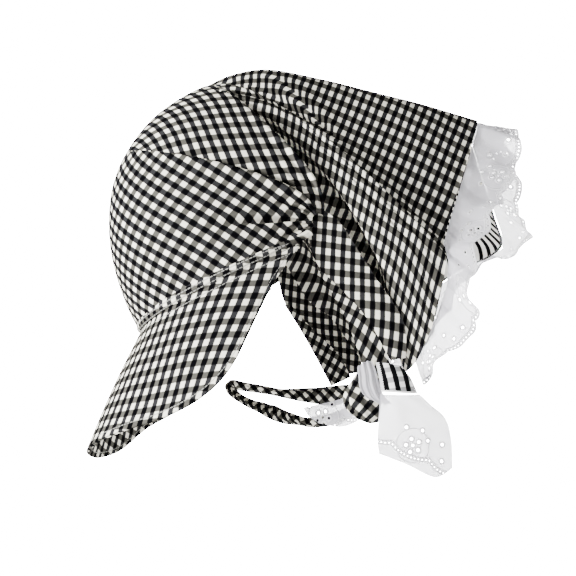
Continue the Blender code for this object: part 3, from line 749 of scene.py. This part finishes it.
def grained(flat, panel):
    """Turn millimetres on the flat panel into checks counted along the two threads."""
    dark_way, dark_period, light_way, light_period = GRAIN[panel]
    x, y = flat[..., 0], flat[..., 1]
    dark = x * math.cos(math.radians(dark_way)) + y * math.sin(math.radians(dark_way))
    light = x * math.cos(math.radians(light_way)) + y * math.sin(math.radians(light_way))
    return np.stack([dark / dark_period, light / light_period], -1)


def follow(points, seam, seam_uv, slope):
    """Flat coordinates for points beside a seam, carried straight on from the panel at the seam."""
    shape = points.shape[:2]
    every = points.reshape(-1, 1, 3)
    start = seam[None, :-1]
    span = seam[None, 1:] - start
    part = np.clip(((every - start) * span).sum(2) / (span**2).sum(2), 0.0, 1.0)
    distance = np.linalg.norm(start + span * part[..., None] - every, axis=2)
    nearest = distance.argmin(1)
    rows = np.arange(len(nearest))
    share = part[rows, nearest][:, None]
    base = seam_uv[nearest] * (1.0 - share) + seam_uv[nearest + 1] * share
    rate = slope[nearest] * (1.0 - share) + slope[nearest + 1] * share
    return (base - rate * distance[rows, nearest][:, None]).reshape(shape + (2,))


class Value:
    """Output of a node, for use in formulas."""

    def __init__(self, graph, socket):
        self.graph = graph
        self.socket = socket

    def do(self, operation, *others, clamp=False):
        return self.graph.math(operation, self, *others, clamp=clamp)

    def __add__(self, other):
        return self.do("ADD", other)

    def __sub__(self, other):
        return self.do("SUBTRACT", other)

    def __rsub__(self, other):
        return self.graph.math("SUBTRACT", other, self)

    def __mul__(self, other):
        return self.do("MULTIPLY", other)

    def __truediv__(self, other):
        return self.do("DIVIDE", other)

    def __lt__(self, other):
        return self.do("LESS_THAN", other)

    def __gt__(self, other):
        return self.do("GREATER_THAN", other)

    def __abs__(self):
        return self.do("ABSOLUTE")


class Graph:
    """Short way to build the nodes of a material."""

    def __init__(self, material):
        self.tree = material.node_tree

    def node(self, kind, **settings):
        made = self.tree.nodes.new(kind)
        for key, value in settings.items():
            setattr(made, key, value)
        return made

    def put(self, socket, value):
        if isinstance(value, Value):
            self.tree.links.new(value.socket, socket)
        else:
            socket.default_value = value

    def math(self, operation, *values, clamp=False):
        made = self.node("ShaderNodeMath", operation=operation, use_clamp=clamp)
        for i, value in enumerate(values):
            self.put(made.inputs[i], value)
        return Value(self, made.outputs[0])

    def mix(self, amount, low, high):
        made = self.node("ShaderNodeMix", data_type="RGBA")
        self.put(made.inputs[0], amount)
        self.put(made.inputs[6], low)
        self.put(made.inputs[7], high)
        return Value(self, made.outputs[2])

    def coordinate(self, layer):
        source = self.node("ShaderNodeUVMap", uv_map=layer)
        split = self.node("ShaderNodeSeparateXYZ")
        self.tree.links.new(source.outputs[0], split.inputs[0])
        return Value(self, split.outputs[0]), Value(self, split.outputs[1])

    def noise(self, scale):
        made = self.node("ShaderNodeTexNoise")
        made.inputs["Scale"].default_value = scale
        made.inputs["Detail"].default_value = 2.0
        return Value(self, made.outputs[0])

    def bump(self, height, strength, distance):
        made = self.node("ShaderNodeBump")
        made.inputs["Strength"].default_value = strength
        made.inputs["Distance"].default_value = distance
        self.put(made.inputs["Height"], height)
        return Value(self, made.outputs[0])


def start_material(name):
    made = bpy.data.materials.new(name)
    made.use_nodes = True
    return made, Graph(made), made.node_tree.nodes["Principled BSDF"]


def matte(graph, shader, colour, roughness, specular):
    graph.put(shader.inputs["Base Color"], colour)
    shader.inputs["Roughness"].default_value = roughness
    shader.inputs["Specular IOR Level"].default_value = specular


def half_band(value, softness, edge=0.25):
    """1 in one half of each period and 0 in the other, with a soft edge."""
    wave = abs(value.do("FRACT") - 0.5)
    return ((wave - edge) * (1.0 / softness)).do("ADD", 0.5, clamp=True)


def falloff(value, reach):
    """1 where the value is 0, and 0 from its reach on."""
    return value.graph.math("SUBTRACT", 1.0, value / reach, clamp=True)


def hypotenuse(x, y):
    return (x * x + y * y).do("SQRT")


def gingham(name, stitched=0.0, upright=False):
    """Woven checks in four tones, with fine thread relief and an optional row of stitches along the edge, its
    groove darkened with painted shade.
    """
    made, graph, shader = start_material(name)
    u, v = graph.coordinate("threads")
    jitter = (graph.noise(900.0) - 0.5) * 0.03
    across = half_band(u + jitter, 0.06, 0.235)
    along = half_band(v + jitter, 0.06, 0.24)
    yarn = graph.noise(1700.0) * 0.55
    light = graph.mix(along, graph.mix(yarn, WHITE, YARN_SHADE), LIGHT_GREY)
    dark = graph.mix(along, DARK_GREY, BLACK)
    colour = graph.mix(across, light, dark)
    turns = 2.0 * math.pi * THREADS_PER_PERIOD
    height = ((u * turns).do("SINE") + (v * turns).do("SINE")) * 0.15
    if stitched:
        rim_across, rim_along = graph.coordinate("rims")
        from_edge, along_edge = (rim_along, rim_across) if upright else (rim_across, rim_along)
        line = abs(from_edge - stitched)
        groove_and_painted_shade = falloff(line, 0.9)
        dash = (along_edge / STITCH_LENGTH).do("FRACT") > 0.25
        thread = (line < 0.35) * dash
        height = height - groove_and_painted_shade * 1.2 + thread * 0.8
        # Painted shade: the stitch groove is darkened in the colour as well as sunk by the bump
        colour = graph.mix(groove_and_painted_shade * 0.45, colour, STITCH_PAINTED_SHADE)
        colour = graph.mix(thread * 0.6, colour, STITCH_THREAD)
    matte(graph, shader, colour, 0.95, 0.02)
    graph.put(shader.inputs["Normal"], graph.bump(height, 0.35, 0.0004))
    return made


def dress(piece, material, nodes):
    piece.data.materials.append(material)
    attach(piece, "root")
    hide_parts(*nodes)
    return piece


def declare(flat, area):
    """The smaller of the cloth's area and the box of its flat cut, in square metres, worked out and not used.
    """
    size = flat.reshape(-1, 2)
    span = size.max(0) - size.min(0)
    min(area, float(span[0] * span[1])) * MILLIMETRE**2


def grid_area(points):
    first = points[1:, :-1] - points[:-1, :-1]
    second = points[:-1, 1:] - points[:-1, :-1]
    third = points[1:, :-1] - points[1:, 1:]
    fourth = points[:-1, 1:] - points[1:, 1:]
    one = np.linalg.norm(np.cross(first, second), axis=2).sum()
    two = np.linalg.norm(np.cross(third, fourth), axis=2).sum()
    return (one + two) / 2.0


def uv_for(points_coarse, rows, columns, panel, turned=None):
    flat = flatten(points_coarse, turned)
    return resample(grained(flat, panel), rows, columns), flat


def spread(rows, columns):
    """Row number and column number of every point of a grid."""
    return np.meshgrid(rows, columns, indexing="ij")


def ease(value):
    value = np.clip(value, 0.0, 1.0)
    return value * value * (3.0 - 2.0 * value)


def crown_relief(rows, columns):
    """Height of the folds and creases over the crown surface, in millimetres."""
    rib, side = spread(rows, np.minimum(columns, 180.0 - columns))
    height = np.zeros_like(rib)
    grow = ease((FOLD_START - side) / 24.0) * ease((side - 1.0) / 6.0)
    before = np.where(rib <= FOLD_ROW, np.exp(-(FOLD_ROW - rib) / 0.5), 0.0)
    after = np.where(rib > FOLD_ROW, np.exp(-(rib - FOLD_ROW) / 0.45), 0.0)
    height += grow * (FOLD_RIDGE * before - FOLD_DROP * after)
    for outer_rib, gather_rib, start, depth, half in CREASES:
        middle = gather_rib + (outer_rib - gather_rib) * side / start
        strength = ease((start - side) / (0.7 * start)) * ease((side - 1.5) / 4.0) * depth
        valley = np.exp(-(((rib - middle) / half) ** 2))
        ridge = np.exp(-(((rib - middle - 1.5 * half) / half) ** 2))
        height += strength * (0.6 * ridge - valley)
    height += 0.45 * noise_field(rib * 20.0, side * 1.6, 3, 60.0) * ease((side - 3.0) / 20.0)
    return height


def dress_crown():
    last = len(CROWN_RIBS) - 1
    rows = np.concatenate([np.linspace(0.0, FOLD_ROW, 120), np.linspace(FOLD_ROW, last, 81)[1:]])
    columns = np.concatenate([np.linspace(GATHER_HALF_ANGLE, 30.0, 60), np.linspace(30.0, 150.0, 91)[1:-1],
                              np.linspace(150.0, 180.0 - GATHER_HALF_ANGLE, 60)])
    points = lattice(crown_place, rows, columns)
    coarse_columns = np.linspace(GATHER_HALF_ANGLE, 180.0 - GATHER_HALF_ANGLE, 33)
    scaled = (columns - coarse_columns[0]) / (coarse_columns[-1] - coarse_columns[0]) * 32
    front_flat = flatten(lattice(crown_place, np.linspace(0.0, FOLD_ROW, 15), coarse_columns))
    back_coarse = lattice(crown_place, np.linspace(FOLD_ROW, last, 11), coarse_columns)
    side = np.minimum(coarse_columns, 180.0 - coarse_columns)
    turned = CROWN_TURN_RATE * np.maximum(side - CROWN_TURN_FROM, 0.0)[None, :]
    back_count = grained(flatten(back_coarse), "crown_back")
    back_count[..., 0] = grained(flatten(back_coarse, turned), "crown_back")[..., 0]
    front_count = grained(front_flat, "crown_front")
    back_count += front_count[-1, 16] - back_count[0, 16]
    front = resample(front_count, np.clip(rows / FOLD_ROW * 14, 0, 14), scaled)
    back = resample(back_count, np.clip((rows - FOLD_ROW) / (last - FOLD_ROW) * 10, 0, 10), scaled)
    made = cloth("crown_cloth", points, [front, back], WALL, breaks=[119], lift=crown_relief(rows, columns))
    dress(made, gingham("crown_gingham"), ["crown"])
    whole = flatten(lattice(crown_place, np.linspace(0, last, 21), coarse_columns))
    declare(whole, grid_area(points))


def lapped_band(level, angle):
    """Band surface that reaches under the crown above it and the peak below it, but not at its two ends."""
    lap = BAND_LAP * ease((min(angle, 180.0 - angle) - 9.0) / 12.0)
    return band_place(0.5 + (level - 0.5) * (1.0 + 2.0 * lap), angle)


def dress_peak():
    last = len(PEAK_SPOKES) - 1
    rows = np.linspace(0.0, last, 181)
    columns = np.linspace(0.0, 1.0, 61)
    points = lattice(peak_place, rows, columns)
    coarse_rows = np.linspace(0, last, 45)
    coarse = lattice(peak_place, coarse_rows, np.linspace(0.0, 1.0, 9))
    turned = PEAK_TURN_PER_SPOKE * (np.clip(coarse_rows, *PEAK_TURN_ENDS) - PEAK_TURN_FROM)[:, None]
    uv = uv_for(coarse, rows / last * 44, columns * 8, "peak", turned)[0]
    made = cloth("peak_cloth", points, uv, PEAK_WALL)
    dress(made, gingham("peak_gingham", stitched=PEAK_STITCH), ["peak"])
    peak_cloth, peak_flat = made, flatten(coarse)
    band_columns = np.linspace(4.0, 176.0, 241)
    levels = np.linspace(0.0, 1.0, 15)
    band = lattice(lapped_band, levels, band_columns)
    reach = np.linalg.norm(points[:, 4] - points[:, 0], axis=1)[:, None]
    uv = follow(band, points[:, 0], uv[:, 0], (uv[:, 4] - uv[:, 0]) / reach)
    made = cloth("band_cloth", band, uv, BAND_WALL)
    material = gingham("band_gingham", stitched=BAND_STITCH + BAND_LAP * BAND_HEIGHT, upright=True)
    dress(made, material, ["peak_band"])
    declare(peak_flat, grid_area(points))


def table_value(table, value):
    """Value read off a two-column table, straight between its rows."""
    return np.interp(value, [row[0] for row in table], [row[1] for row in table])


def scarf_spread(fold, down):
    """Scarf surface with the last pleats moved back towards the top middle."""
    last = len(SCARF_FOLDS) - 1
    near = min(fold, last - fold)
    extra = float(table_value(TOP_SPREAD, down))
    if near < PLEAT_END:
        near += extra * near / PLEAT_END
    else:
        near += extra * (last / 2.0 - near) / (last / 2.0 - PLEAT_END)
    return scarf_base(near if fold < last / 2.0 else last - near, down)


def pulled(points, amount, shift):
    """Points moved by a shift, times an amount from 0 to 1 at each."""
    return points + amount[..., None] * np.array(shift, float)


def scarf_relief(rows, columns):
    """Deep valley by the crown, fine pleats behind it and soft waves over the back, in millimetres."""
    last = len(SCARF_FOLDS) - 1
    fold, down = spread(rows, columns)
    near = np.minimum(fold, last - fold)
    strength = catmull(np.array(PLEAT_STRENGTHS), columns)[None, :]
    height = strength * table_value(PLEAT_PROFILE, near) * np.where(fold < last / 2.0, 1.0, FAR_PLEATS)
    height += 0.35 * noise_field(near * 16.0, down * 30.0, 5, 40.0) * ease((near - 1.2) / 1.0)
    back = ease((near - 5.0) / 1.5)
    height += back * 0.6 * noise_field(fold * 22.0, down * 45.0, 8, 75.0)
    far = ease((fold - 11.0) / 2.0)
    height += far * back * ease(down - 1.5) * 2.0 * np.sin(fold * 4.2 + 0.8 * down)
    return height


def striped_facing(name):
    """Striped inner side along the far hem, with a dark overlocked edge."""
    made, graph, shader = start_material(name)
    from_hem, along_hem = graph.coordinate("rims")
    colour = graph.mix(half_band(along_hem / 7.4, 0.06), FACING_WHITE, BLACK)
    dots = (along_hem / 1.5).do("FRACT") > 0.7
    overlock = graph.mix(dots, (0.01, 0.01, 0.01, 1.0), (0.3, 0.3, 0.3, 1.0))
    matte(graph, shader, graph.mix(from_hem < 2.2, colour, overlock), 0.95, 0.02)
    return made


def dress_scarf():
    last = len(SCARF_FOLDS) - 1
    rows = np.concatenate([np.linspace(0.0, PLEAT_END, 166), np.linspace(PLEAT_END, last - PLEAT_END, 91)[1:],
                           np.linspace(last - PLEAT_END, last, 101)[1:]])
    columns = np.linspace(0.0, 4.0, 101)
    points = lattice(scarf_spread, rows, columns)
    fold, down = spread(rows, columns)
    near = np.minimum(fold, last - fold)
    points = pulled(points, ease((down - 2.9) / 1.1) * (1.0 - ease((fold - 3.4) / 1.4)), SCARF_PULL)
    amount = (1.0 - ease(near / 0.7)) * ease((down - 0.3) / 0.4) * (1.0 - ease((down - 2.6) / 0.6))
    inward = np.where(rows < last / 2.0, -1.0, 1.0)
    side_lap = np.array([(SIDE_LAP[0] * way, *SIDE_LAP[1:]) for way in inward])
    points = pulled(points, amount, side_lap[:, None])
    points = pulled(points, 1.0 - ease(down / 0.55), TOP_LAP)
    coarse_columns = np.linspace(0.0, 4.0, 13)
    parts = []
    for first, end, count, panel in ((0.0, PLEAT_END, 17, "scarf_pleats"),
                                     (PLEAT_END, last - PLEAT_END, 31, "scarf_back"),
                                     (float(last), last - PLEAT_END, 17, "scarf_pleats")):
        coarse = lattice(scarf_spread, np.linspace(first, end, count), coarse_columns)
        local = np.clip((rows - first) / (end - first) * (count - 1), 0, count - 1)
        parts.append(uv_for(coarse, local, columns * 3, panel)[0])
    made = cloth("scarf_cloth", points, parts, WALL, breaks=[165, 255], lift=-scarf_relief(rows, columns))
    dress(made, gingham("scarf_gingham"), ["scarf"])
    made.data.materials.append(striped_facing("far_facing_stripes"))
    inside = (fold > FAR_FACING_FROM) & (fold < FAR_FACING_TO) & (down > FAR_FACING_DOWN)
    for k in np.flatnonzero(inside[:-1, :-1].ravel()):
        made.data.polygons[int(k)].material_index = 1
    whole = flatten(lattice(scarf_base, np.linspace(0, last, 41), coarse_columns))
    declare(whole, grid_area(points))


def dress_panels():
    panel = patch(PANEL_ROWS)
    facing = patch(FACING_ROWS)
    for word, side in (("left", 1.0), ("right", -1.0)):
        for surface, label, rows_end, material in (
            (panel, "side_panel", 5.0, "side_gingham"),
            (facing, "edge_facing", 3.0, "facing_gingham"),
        ):
            rows = np.linspace(0.0, rows_end, 91)
            columns = np.linspace(0.0, 2.0, 41)
            points = lattice(surface, rows, columns)
            if side > 0:
                amount = ease((rows[:, None] / rows_end - 0.6) / 0.4) + 0.0 * columns[None, :]
                points = pulled(points, amount, PANEL_PULL)
            points[..., 0] *= side
            coarse = lattice(surface, np.linspace(0, rows_end, 16), np.linspace(0.0, 2.0, 7))
            uv, flat = uv_for(coarse, rows / rows_end * 15, columns * 3, label)
            if side < 0:
                points = points[:, ::-1]
                uv = uv[:, ::-1]
            made = cloth(label + "_cloth_" + word, points, uv, WALL)
            dress(made, gingham(material + "_" + word), [label + "_" + word])
            declare(flat, grid_area(points))


def lace_material(name, pitch, width):
    """Fine white cotton with eyelets, satin rings and a beaded edge."""
    made, graph, shader = start_material(name)
    u, v = graph.coordinate("threads")
    inward = width - v
    pair = u.do("MODULO", 2.0 * pitch)
    flower = 0.5 * pitch
    between = 1.5 * pitch
    y = inward - FLOWER_INSET
    x = pair - flower
    radius = hypotenuse(x, y)
    sector = 2.0 * math.pi / FLOWER_PETALS
    angle = (y * -1.0).do("ARCTAN2", x)
    folded = (angle + (sector / 2.0 - 0.3)).do("FLOORED_MODULO", sector) - sector / 2.0
    petal = hypotenuse(radius * folded.do("COSINE") - FLOWER_RADIUS, radius * folded.do("SINE"))
    rings = [(petal - EYELET_RADIUS, 1.5), (radius - EYELET_RADIUS * 0.9, 1.2)]
    loose = [(flower + along, inset) for along, inset in STEM_EYELETS]
    loose += [(between + along, inset) for along, inset in PAIR_EYELETS + STEM_EYELETS[:1]]
    rings += [(hypotenuse(pair - along, inward - inset) - EYELET_RADIUS, 1.3) for along, inset in loose]
    scallop = abs((u * (math.pi / pitch)).do("SINE")).do("POWER", 0.7)
    rim = inward - (1.0 - scallop) * SCALLOP_DEPTH
    bead = hypotenuse(((u / BEAD_PITCH).do("FRACT") - 0.5) * BEAD_PITCH, rim - BEAD_INSET)
    rings.append((bead - 0.45, 0.9))
    hole = None
    relief = None
    for outside, wide in rings:
        inside = outside < 0.0
        raised = falloff(abs(outside - wide * 0.5), wide * 0.6)
        hole = inside if hole is None else hole.do("MAXIMUM", inside)
        relief = raised if relief is None else relief.do("MAXIMUM", raised)
    relief = relief.do("MAXIMUM", falloff(abs(radius - STEM_RADIUS), 0.6) * 0.7)
    for level in RIM_CORDS:
        relief = relief.do("MAXIMUM", falloff(abs(rim - level), 0.5))
    normal = graph.bump(relief + graph.noise(1500.0) * 0.15, 0.8, 0.0009)
    graph.put(shader.inputs["Normal"], normal)
    graph.put(shader.inputs["Base Color"], graph.mix(relief, LACE_GROUND, LACE_THREAD))
    shader.inputs["Roughness"].default_value = 0.8
    shader.inputs["Sheen Weight"].default_value = 0.2
    translucent = graph.node("ShaderNodeBsdfTranslucent")
    translucent.inputs[0].default_value = LACE_LIT_THROUGH
    graph.put(translucent.inputs["Normal"], normal)
    thin = graph.node("ShaderNodeMixShader")
    thin.inputs[0].default_value = 0.4
    graph.tree.links.new(shader.outputs[0], thin.inputs[1])
    graph.tree.links.new(translucent.outputs[0], thin.inputs[2])
    clear = graph.node("ShaderNodeBsdfTransparent")
    see = graph.node("ShaderNodeMixShader")
    graph.put(see.inputs[0], hole.do("MAXIMUM", (1.0 - relief) * 0.26))
    graph.tree.links.new(thin.outputs[0], see.inputs[1])
    graph.tree.links.new(clear.outputs[0], see.inputs[2])
    output = graph.tree.nodes["Material Output"]
    graph.tree.links.new(see.outputs[0], output.inputs[0])
    return made


def dress_hem_lace():
    start = LACE_STATIONS[0][0]
    end = LACE_STATIONS[-1][0]
    numbers, lengths = distance_table(lambda number: lace_place(number, 0.8), start, end, 400)
    length = lengths[-1]
    scallops = round(length / SCALLOP_PITCH)
    pitch = length / scallops
    along = np.linspace(0.0, length, 801)
    part = np.linspace(0.0, 1.0, 41)
    edge = LACE_WIDTH - SCALLOP_DEPTH * (1.0 - np.abs(np.sin(math.pi * along / pitch)) ** 0.7)
    stations = [read_off(lengths, numbers, value) for value in along]
    parts = edge[:, None] * part[None, :] / LACE_WIDTH
    points = np.array([[lace_place(s, p) for p in row] for s, row in zip(stations, parts)], float)
    across = edge[:, None] * part[None, :]
    uv = np.stack([np.repeat(along[:, None], len(part), 1), across], -1)
    x, y = uv[..., 0], uv[..., 1]
    ruffle = 3.4 * np.sin(2.0 * math.pi * x / 31.0 + 1.7 * np.sin(x / 47.0)) * (y / LACE_WIDTH) ** 1.5
    ruffle += 1.0 * noise_field(x, y * 0.7, 4, 16.0) * np.clip(y / 12.0, 0, 1)
    crease = np.abs(((x + 0.35 * y) / 23.0) % 1.0 - 0.5)
    ruffle += 2.4 * (0.25 - crease) * np.clip(y / 10.0, 0, 1)
    made = cloth("hem_lace_cloth", points, uv, LACE_WALL, lift=ruffle)
    dress(made, lace_material("hem_lace_cotton", pitch, LACE_WIDTH), ["hem_lace"])
    declare(uv, grid_area(points))


def knot_relief(rows, columns):
    """Long soft folds of the wrapped lace, in millimetres."""
    across = columns[None, :] + 0.12 * rows[:, None]
    return 1.3 * np.abs(np.sin(across * 5.3)) - 0.65 + 0.3 * np.sin(across * 23.0)


def crumple(rows, columns):
    """Soft creases that run from the seam down to the loose edge, in millimetres."""
    down, across = spread(rows / rows[-1], columns / columns[-1])
    fan = (across - 0.2) / (0.35 + 0.9 * down)
    height = 1.3 * np.sin(7.0 * fan + 2.0 * down) * ease(down * 2.5)
    height += 0.8 * noise_field(across * 40.0, down * 40.0, 11, 12.0) * ease(down * 1.6)
    return height


def dress_tie():
    pieces = (
        # name, table of the piece, last row, last column, slot, relief
        ("tie_knot", KNOT_ROWS, 4.0, 2.0, "lace", knot_relief),
        ("tie_tab", TAB_ROWS, 2.0, 2.0, "stripe", None),
        ("tie_lace", TIE_LACE_ROWS, 4.0, 3.0, "lace", crumple),
        ("under_lace", UNDER_LACE_ROWS, 2.0, 3.0, "lace", None),
    )
    for name, table, row_end, column_end, slot_name, relief in pieces:
        surface = patch(table)
        rows = np.linspace(0.0, row_end, 81)
        columns = np.linspace(0.0, column_end, 61)
        points = lattice(surface, rows, columns)
        coarse = lattice(surface, np.linspace(0, row_end, 11), np.linspace(0, column_end, 10))
        flat = flatten(coarse)
        uv = resample(flat, rows / row_end * 10, columns / column_end * 9)
        if name == "tie_lace":
            along = np.array([math.cos(TIE_EDGE_TURN), math.sin(TIE_EDGE_TURN)])
            inward = np.array([math.sin(TIE_EDGE_TURN), -math.cos(TIE_EDGE_TURN)])
            place = uv - np.array(TIE_FLOWER)
            from_seam = TIE_LACE_WIDTH - FLOWER_INSET - place @ inward
            uv = np.stack([place @ along + 0.5 * SCALLOP_PITCH, from_seam], -1)
        if name == "tie_tab":
            material = stripes("tab_stripes")
        else:
            width = float(uv[..., 1].max()) if name == "under_lace" else TIE_LACE_WIDTH
            material = lace_material(name + "_cotton", SCALLOP_PITCH, width)
        lift = None if relief is None else relief(rows, columns)
        made = cloth(name + "_cloth", points, uv, LACE_WALL, lift=lift)
        dress(made, material, [name])
        declare(flat, grid_area(points))


def stripes(name):
    """Black stripes with grey steps between them, an overlocked edge in front and a frayed seam below."""
    made, graph, shader = start_material(name)
    u, v = graph.coordinate("threads")
    from_side, from_end = graph.coordinate("rims")
    band = half_band((u - v * 0.07 - FIRST_STRIPE) / STRIPE_PERIOD, 0.05)
    step = half_band(v / STRIPE_PERIOD, 0.06)
    colour = graph.mix(band, graph.mix(step, TAB_WHITE, TAB_GREY), BLACK)
    zigzag = abs((v / 1.6).do("FRACT") - 0.5)
    edge = ((from_side + zigzag * 1.2) < OVERLOCK_WIDTH) * (u < 8.0)
    dots = abs(zigzag - 0.25) < 0.07
    overlock = graph.mix(dots, (0.88, 0.88, 0.88, 1.0), (0.03, 0.03, 0.03, 1.0))
    colour = graph.mix(edge, colour, overlock)
    frayed = ((from_end + graph.noise(900.0) * 1.4) < FRAYED_WIDTH) * (v > 8.0)
    matte(graph, shader, graph.mix(frayed, colour, FRAYED_WHITE), 0.88, 0.05)
    return made


def roll_rings(path_rows, count, sides, ring_point):
    rings = []
    last = len(path_rows) - 1
    for step in steps(0.0, last, count):
        rings.append([ring_point(step, 2.0 * math.pi * k / sides) for k in range(sides)])
    return np.array(rings, float)


def tube_cloth(name, rings, material, nodes, period):
    """Closed roll of cloth with flat coordinates round and along it."""
    m, sides = rings.shape[:2]
    vertices = [tuple(p) for p in (rings.reshape(-1, 3) * MILLIMETRE)]
    vertices.append(tuple(rings[0].mean(0) * MILLIMETRE))
    vertices.append(tuple(rings[-1].mean(0) * MILLIMETRE))
    along = np.concatenate([[0.0], np.cumsum(np.linalg.norm(np.diff(rings, axis=0), axis=2).mean(1))])
    girth = np.linalg.norm(np.roll(rings, -1, 1) - rings, axis=2)
    round_it = np.concatenate([np.zeros((m, 1)), np.cumsum(girth, 1)], 1)
    faces = []
    uvs = []
    for i in range(m - 1):
        for j in range(sides):
            k = (j + 1) % sides
            faces.append((i * sides + j, i * sides + k, (i + 1) * sides + k, (i + 1) * sides + j))
            uvs += [(round_it[i, j], along[i]), (round_it[i, j + 1], along[i]),
                    (round_it[i + 1, j + 1], along[i + 1]), (round_it[i + 1, j], along[i + 1])]
    for j in range(sides):
        k = (j + 1) % sides
        faces.append((k, j, m * sides))
        uvs += [(round_it[0, j + 1], 0.0), (round_it[0, j], 0.0), (0.0, -3.0)]
        faces.append(((m - 1) * sides + j, (m - 1) * sides + k, m * sides + 1))
        uvs += [(round_it[-1, j], along[-1]), (round_it[-1, j + 1], along[-1]), (0.0, along[-1] + 3.0)]
    mesh = bpy.data.meshes.new(name)
    mesh.from_pydata(vertices, [], faces)
    flat = np.array(uvs, float)
    x = (flat[:, 0] * math.cos(ROLL_GRAIN) - flat[:, 1] * math.sin(ROLL_GRAIN)) / period
    y = (flat[:, 0] * math.sin(ROLL_GRAIN) + flat[:, 1] * math.cos(ROLL_GRAIN)) / period
    add_coordinates(mesh, "threads", np.stack([x, y], 1))
    mesh.polygons.foreach_set("use_smooth", np.ones(len(faces), dtype=bool))
    mesh.update()
    made = add_object(name, mesh)
    check = bmesh.new()
    check.from_mesh(mesh)
    bmesh.ops.recalc_face_normals(check, faces=check.faces)
    check.to_mesh(mesh)
    check.free()
    dress(made, material, nodes)
    return made


def dress_rolls():
    path = [Vector(row[:3]) for row in STRAP_PATH]
    last = len(path) - 1

    def strap_point(step, turn):
        middle = spline(path, step)
        ahead = (spline(path, min(step + 0.05, last)) - spline(path, max(step - 0.05, 0.0))).normalized()
        side = Vector((0.0, 0.0, 1.0)).cross(ahead).normalized()
        other = ahead.cross(side).normalized()
        half_width = column(STRAP_PATH, 3, step)
        half_thick = column(STRAP_PATH, 4, step)
        twist = 2.0 * math.pi * STRAP_TURNS * step / last
        ridge = 1.0 + 0.10 * math.cos(5.0 * turn + 0.8 * step) + 0.05 * math.cos(9.0 * turn - 1.3 * step)
        x = half_width * ridge * math.cos(turn)
        y = half_thick * ridge * math.sin(turn)
        along_side = x * math.cos(twist) - y * math.sin(twist)
        along_other = x * math.sin(twist) + y * math.cos(twist)
        return middle + side * along_side + other * along_other

    rings = roll_rings(STRAP_PATH, 240, 64, strap_point)
    material = gingham("chin_tie_gingham")
    strap = tube_cloth("chin_tie_cloth", rings, material, ["chin_tie"], STRAP_PERIOD)
    centres = [Vector(row[:3]) for row in BUNDLE_RINGS]

    def bundle_point(step, turn):
        middle = spline(centres, step)
        half_width = column(BUNDLE_RINGS, 3, step)
        half_thick = column(BUNDLE_RINGS, 4, step)
        fold = 1.0 + BUNDLE_FOLD_DEPTH * math.cos(BUNDLE_FOLDS * turn + 0.6 * step)
        fold += 0.05 * math.cos(11.0 * turn - 0.5 * step)
        along = half_width * fold * math.cos(turn)
        out = half_thick * fold * math.sin(turn)
        return middle + Vector((out, along * 0.93, -along * 0.37))

    rings = roll_rings(BUNDLE_RINGS, 100, 96, bundle_point)
    material = gingham("tie_bundle_gingham")
    bundle = tube_cloth("tie_bundle_cloth", rings, material, ["tie_bundle"], BUNDLE_PERIOD)


def place_camera():
    side = math.radians(VIEW_SIDE_DEGREES)
    below = math.radians(VIEW_BELOW_DEGREES)
    roll = math.radians(VIEW_ROLL_DEGREES)
    towards = Vector((math.cos(below) * math.cos(side), -math.cos(below) * math.sin(side), math.sin(below)))
    level = Vector((math.sin(side), math.cos(side), 0.0))
    upright = level.cross(-towards)
    right = level * math.cos(roll) - upright * math.sin(roll)
    up = level * math.sin(roll) + upright * math.cos(roll)
    eye = (VIEW_TARGET + towards * VIEW_DISTANCE) * MILLIMETRE
    data = bpy.data.cameras.new("camera")
    data.lens = VIEW_LENS
    data.sensor_width = 36.0
    data.clip_end = 20.0
    camera = add_object("camera", data)
    turn = Matrix((right, up, towards)).transposed().to_4x4()
    camera.matrix_world = Matrix.Translation(eye) @ turn
    bpy.context.scene.camera = camera


def area_light(name, place, aim, size, power):
    data = bpy.data.lights.new(name, "AREA")
    data.size = size
    data.energy = power
    lamp = add_object(name, data)
    lamp.location = Vector(place)
    lamp.rotation_mode = "QUATERNION"
    lamp.rotation_quaternion = (Vector(aim) - Vector(place)).to_track_quat("-Z", "Y")


def build_stage():
    """White studio: soft light from the upper front, and a pale floor well below."""
    world = bpy.data.worlds.new("studio")
    world.use_nodes = True
    tree = world.node_tree
    background = tree.nodes["Background"]
    background.inputs[0].default_value = (1.0, 1.0, 1.0, 1.0)
    path = tree.nodes.new("ShaderNodeLightPath")
    strength = tree.nodes.new("ShaderNodeMapRange")
    strength.inputs["To Min"].default_value = WORLD_LIGHT
    strength.inputs["To Max"].default_value = SEEN_BRIGHTNESS
    tree.links.new(path.outputs["Is Camera Ray"], strength.inputs["Value"])
    tree.links.new(strength.outputs[0], background.inputs[1])
    bpy.context.scene.world = world
    mesh = bpy.data.meshes.new("floor")
    square = ((-1, -1), (1, -1), (1, 1), (-1, 1))
    corners = [(x * FLOOR_HALF_SIZE, y * FLOOR_HALF_SIZE, FLOOR_LEVEL) for x, y in square]
    mesh.from_pydata(corners, [], [(0, 1, 2, 3)])
    floor = add_object("floor", mesh)
    made, graph, shader = start_material("floor_paper")
    paper = graph.mix(graph.noise(3.0), (0.80, 0.80, 0.80, 1.0), (0.83, 0.83, 0.83, 1.0))
    graph.put(shader.inputs["Base Color"], paper)
    shader.inputs["Roughness"].default_value = 0.9
    shader.inputs["Emission Color"].default_value = (1.0, 1.0, 1.0, 1.0)
    seen = graph.node("ShaderNodeLightPath")
    seen_directly = Value(graph, seen.outputs["Is Camera Ray"])
    graph.put(shader.inputs["Emission Strength"], seen_directly * SEEN_BRIGHTNESS)
    mesh.materials.append(made)
    for light in LIGHTS:
        area_light(*light)


dress_crown()
dress_peak()
dress_scarf()
dress_panels()
dress_hem_lace()
dress_tie()
dress_rolls()
place_camera()
build_stage()
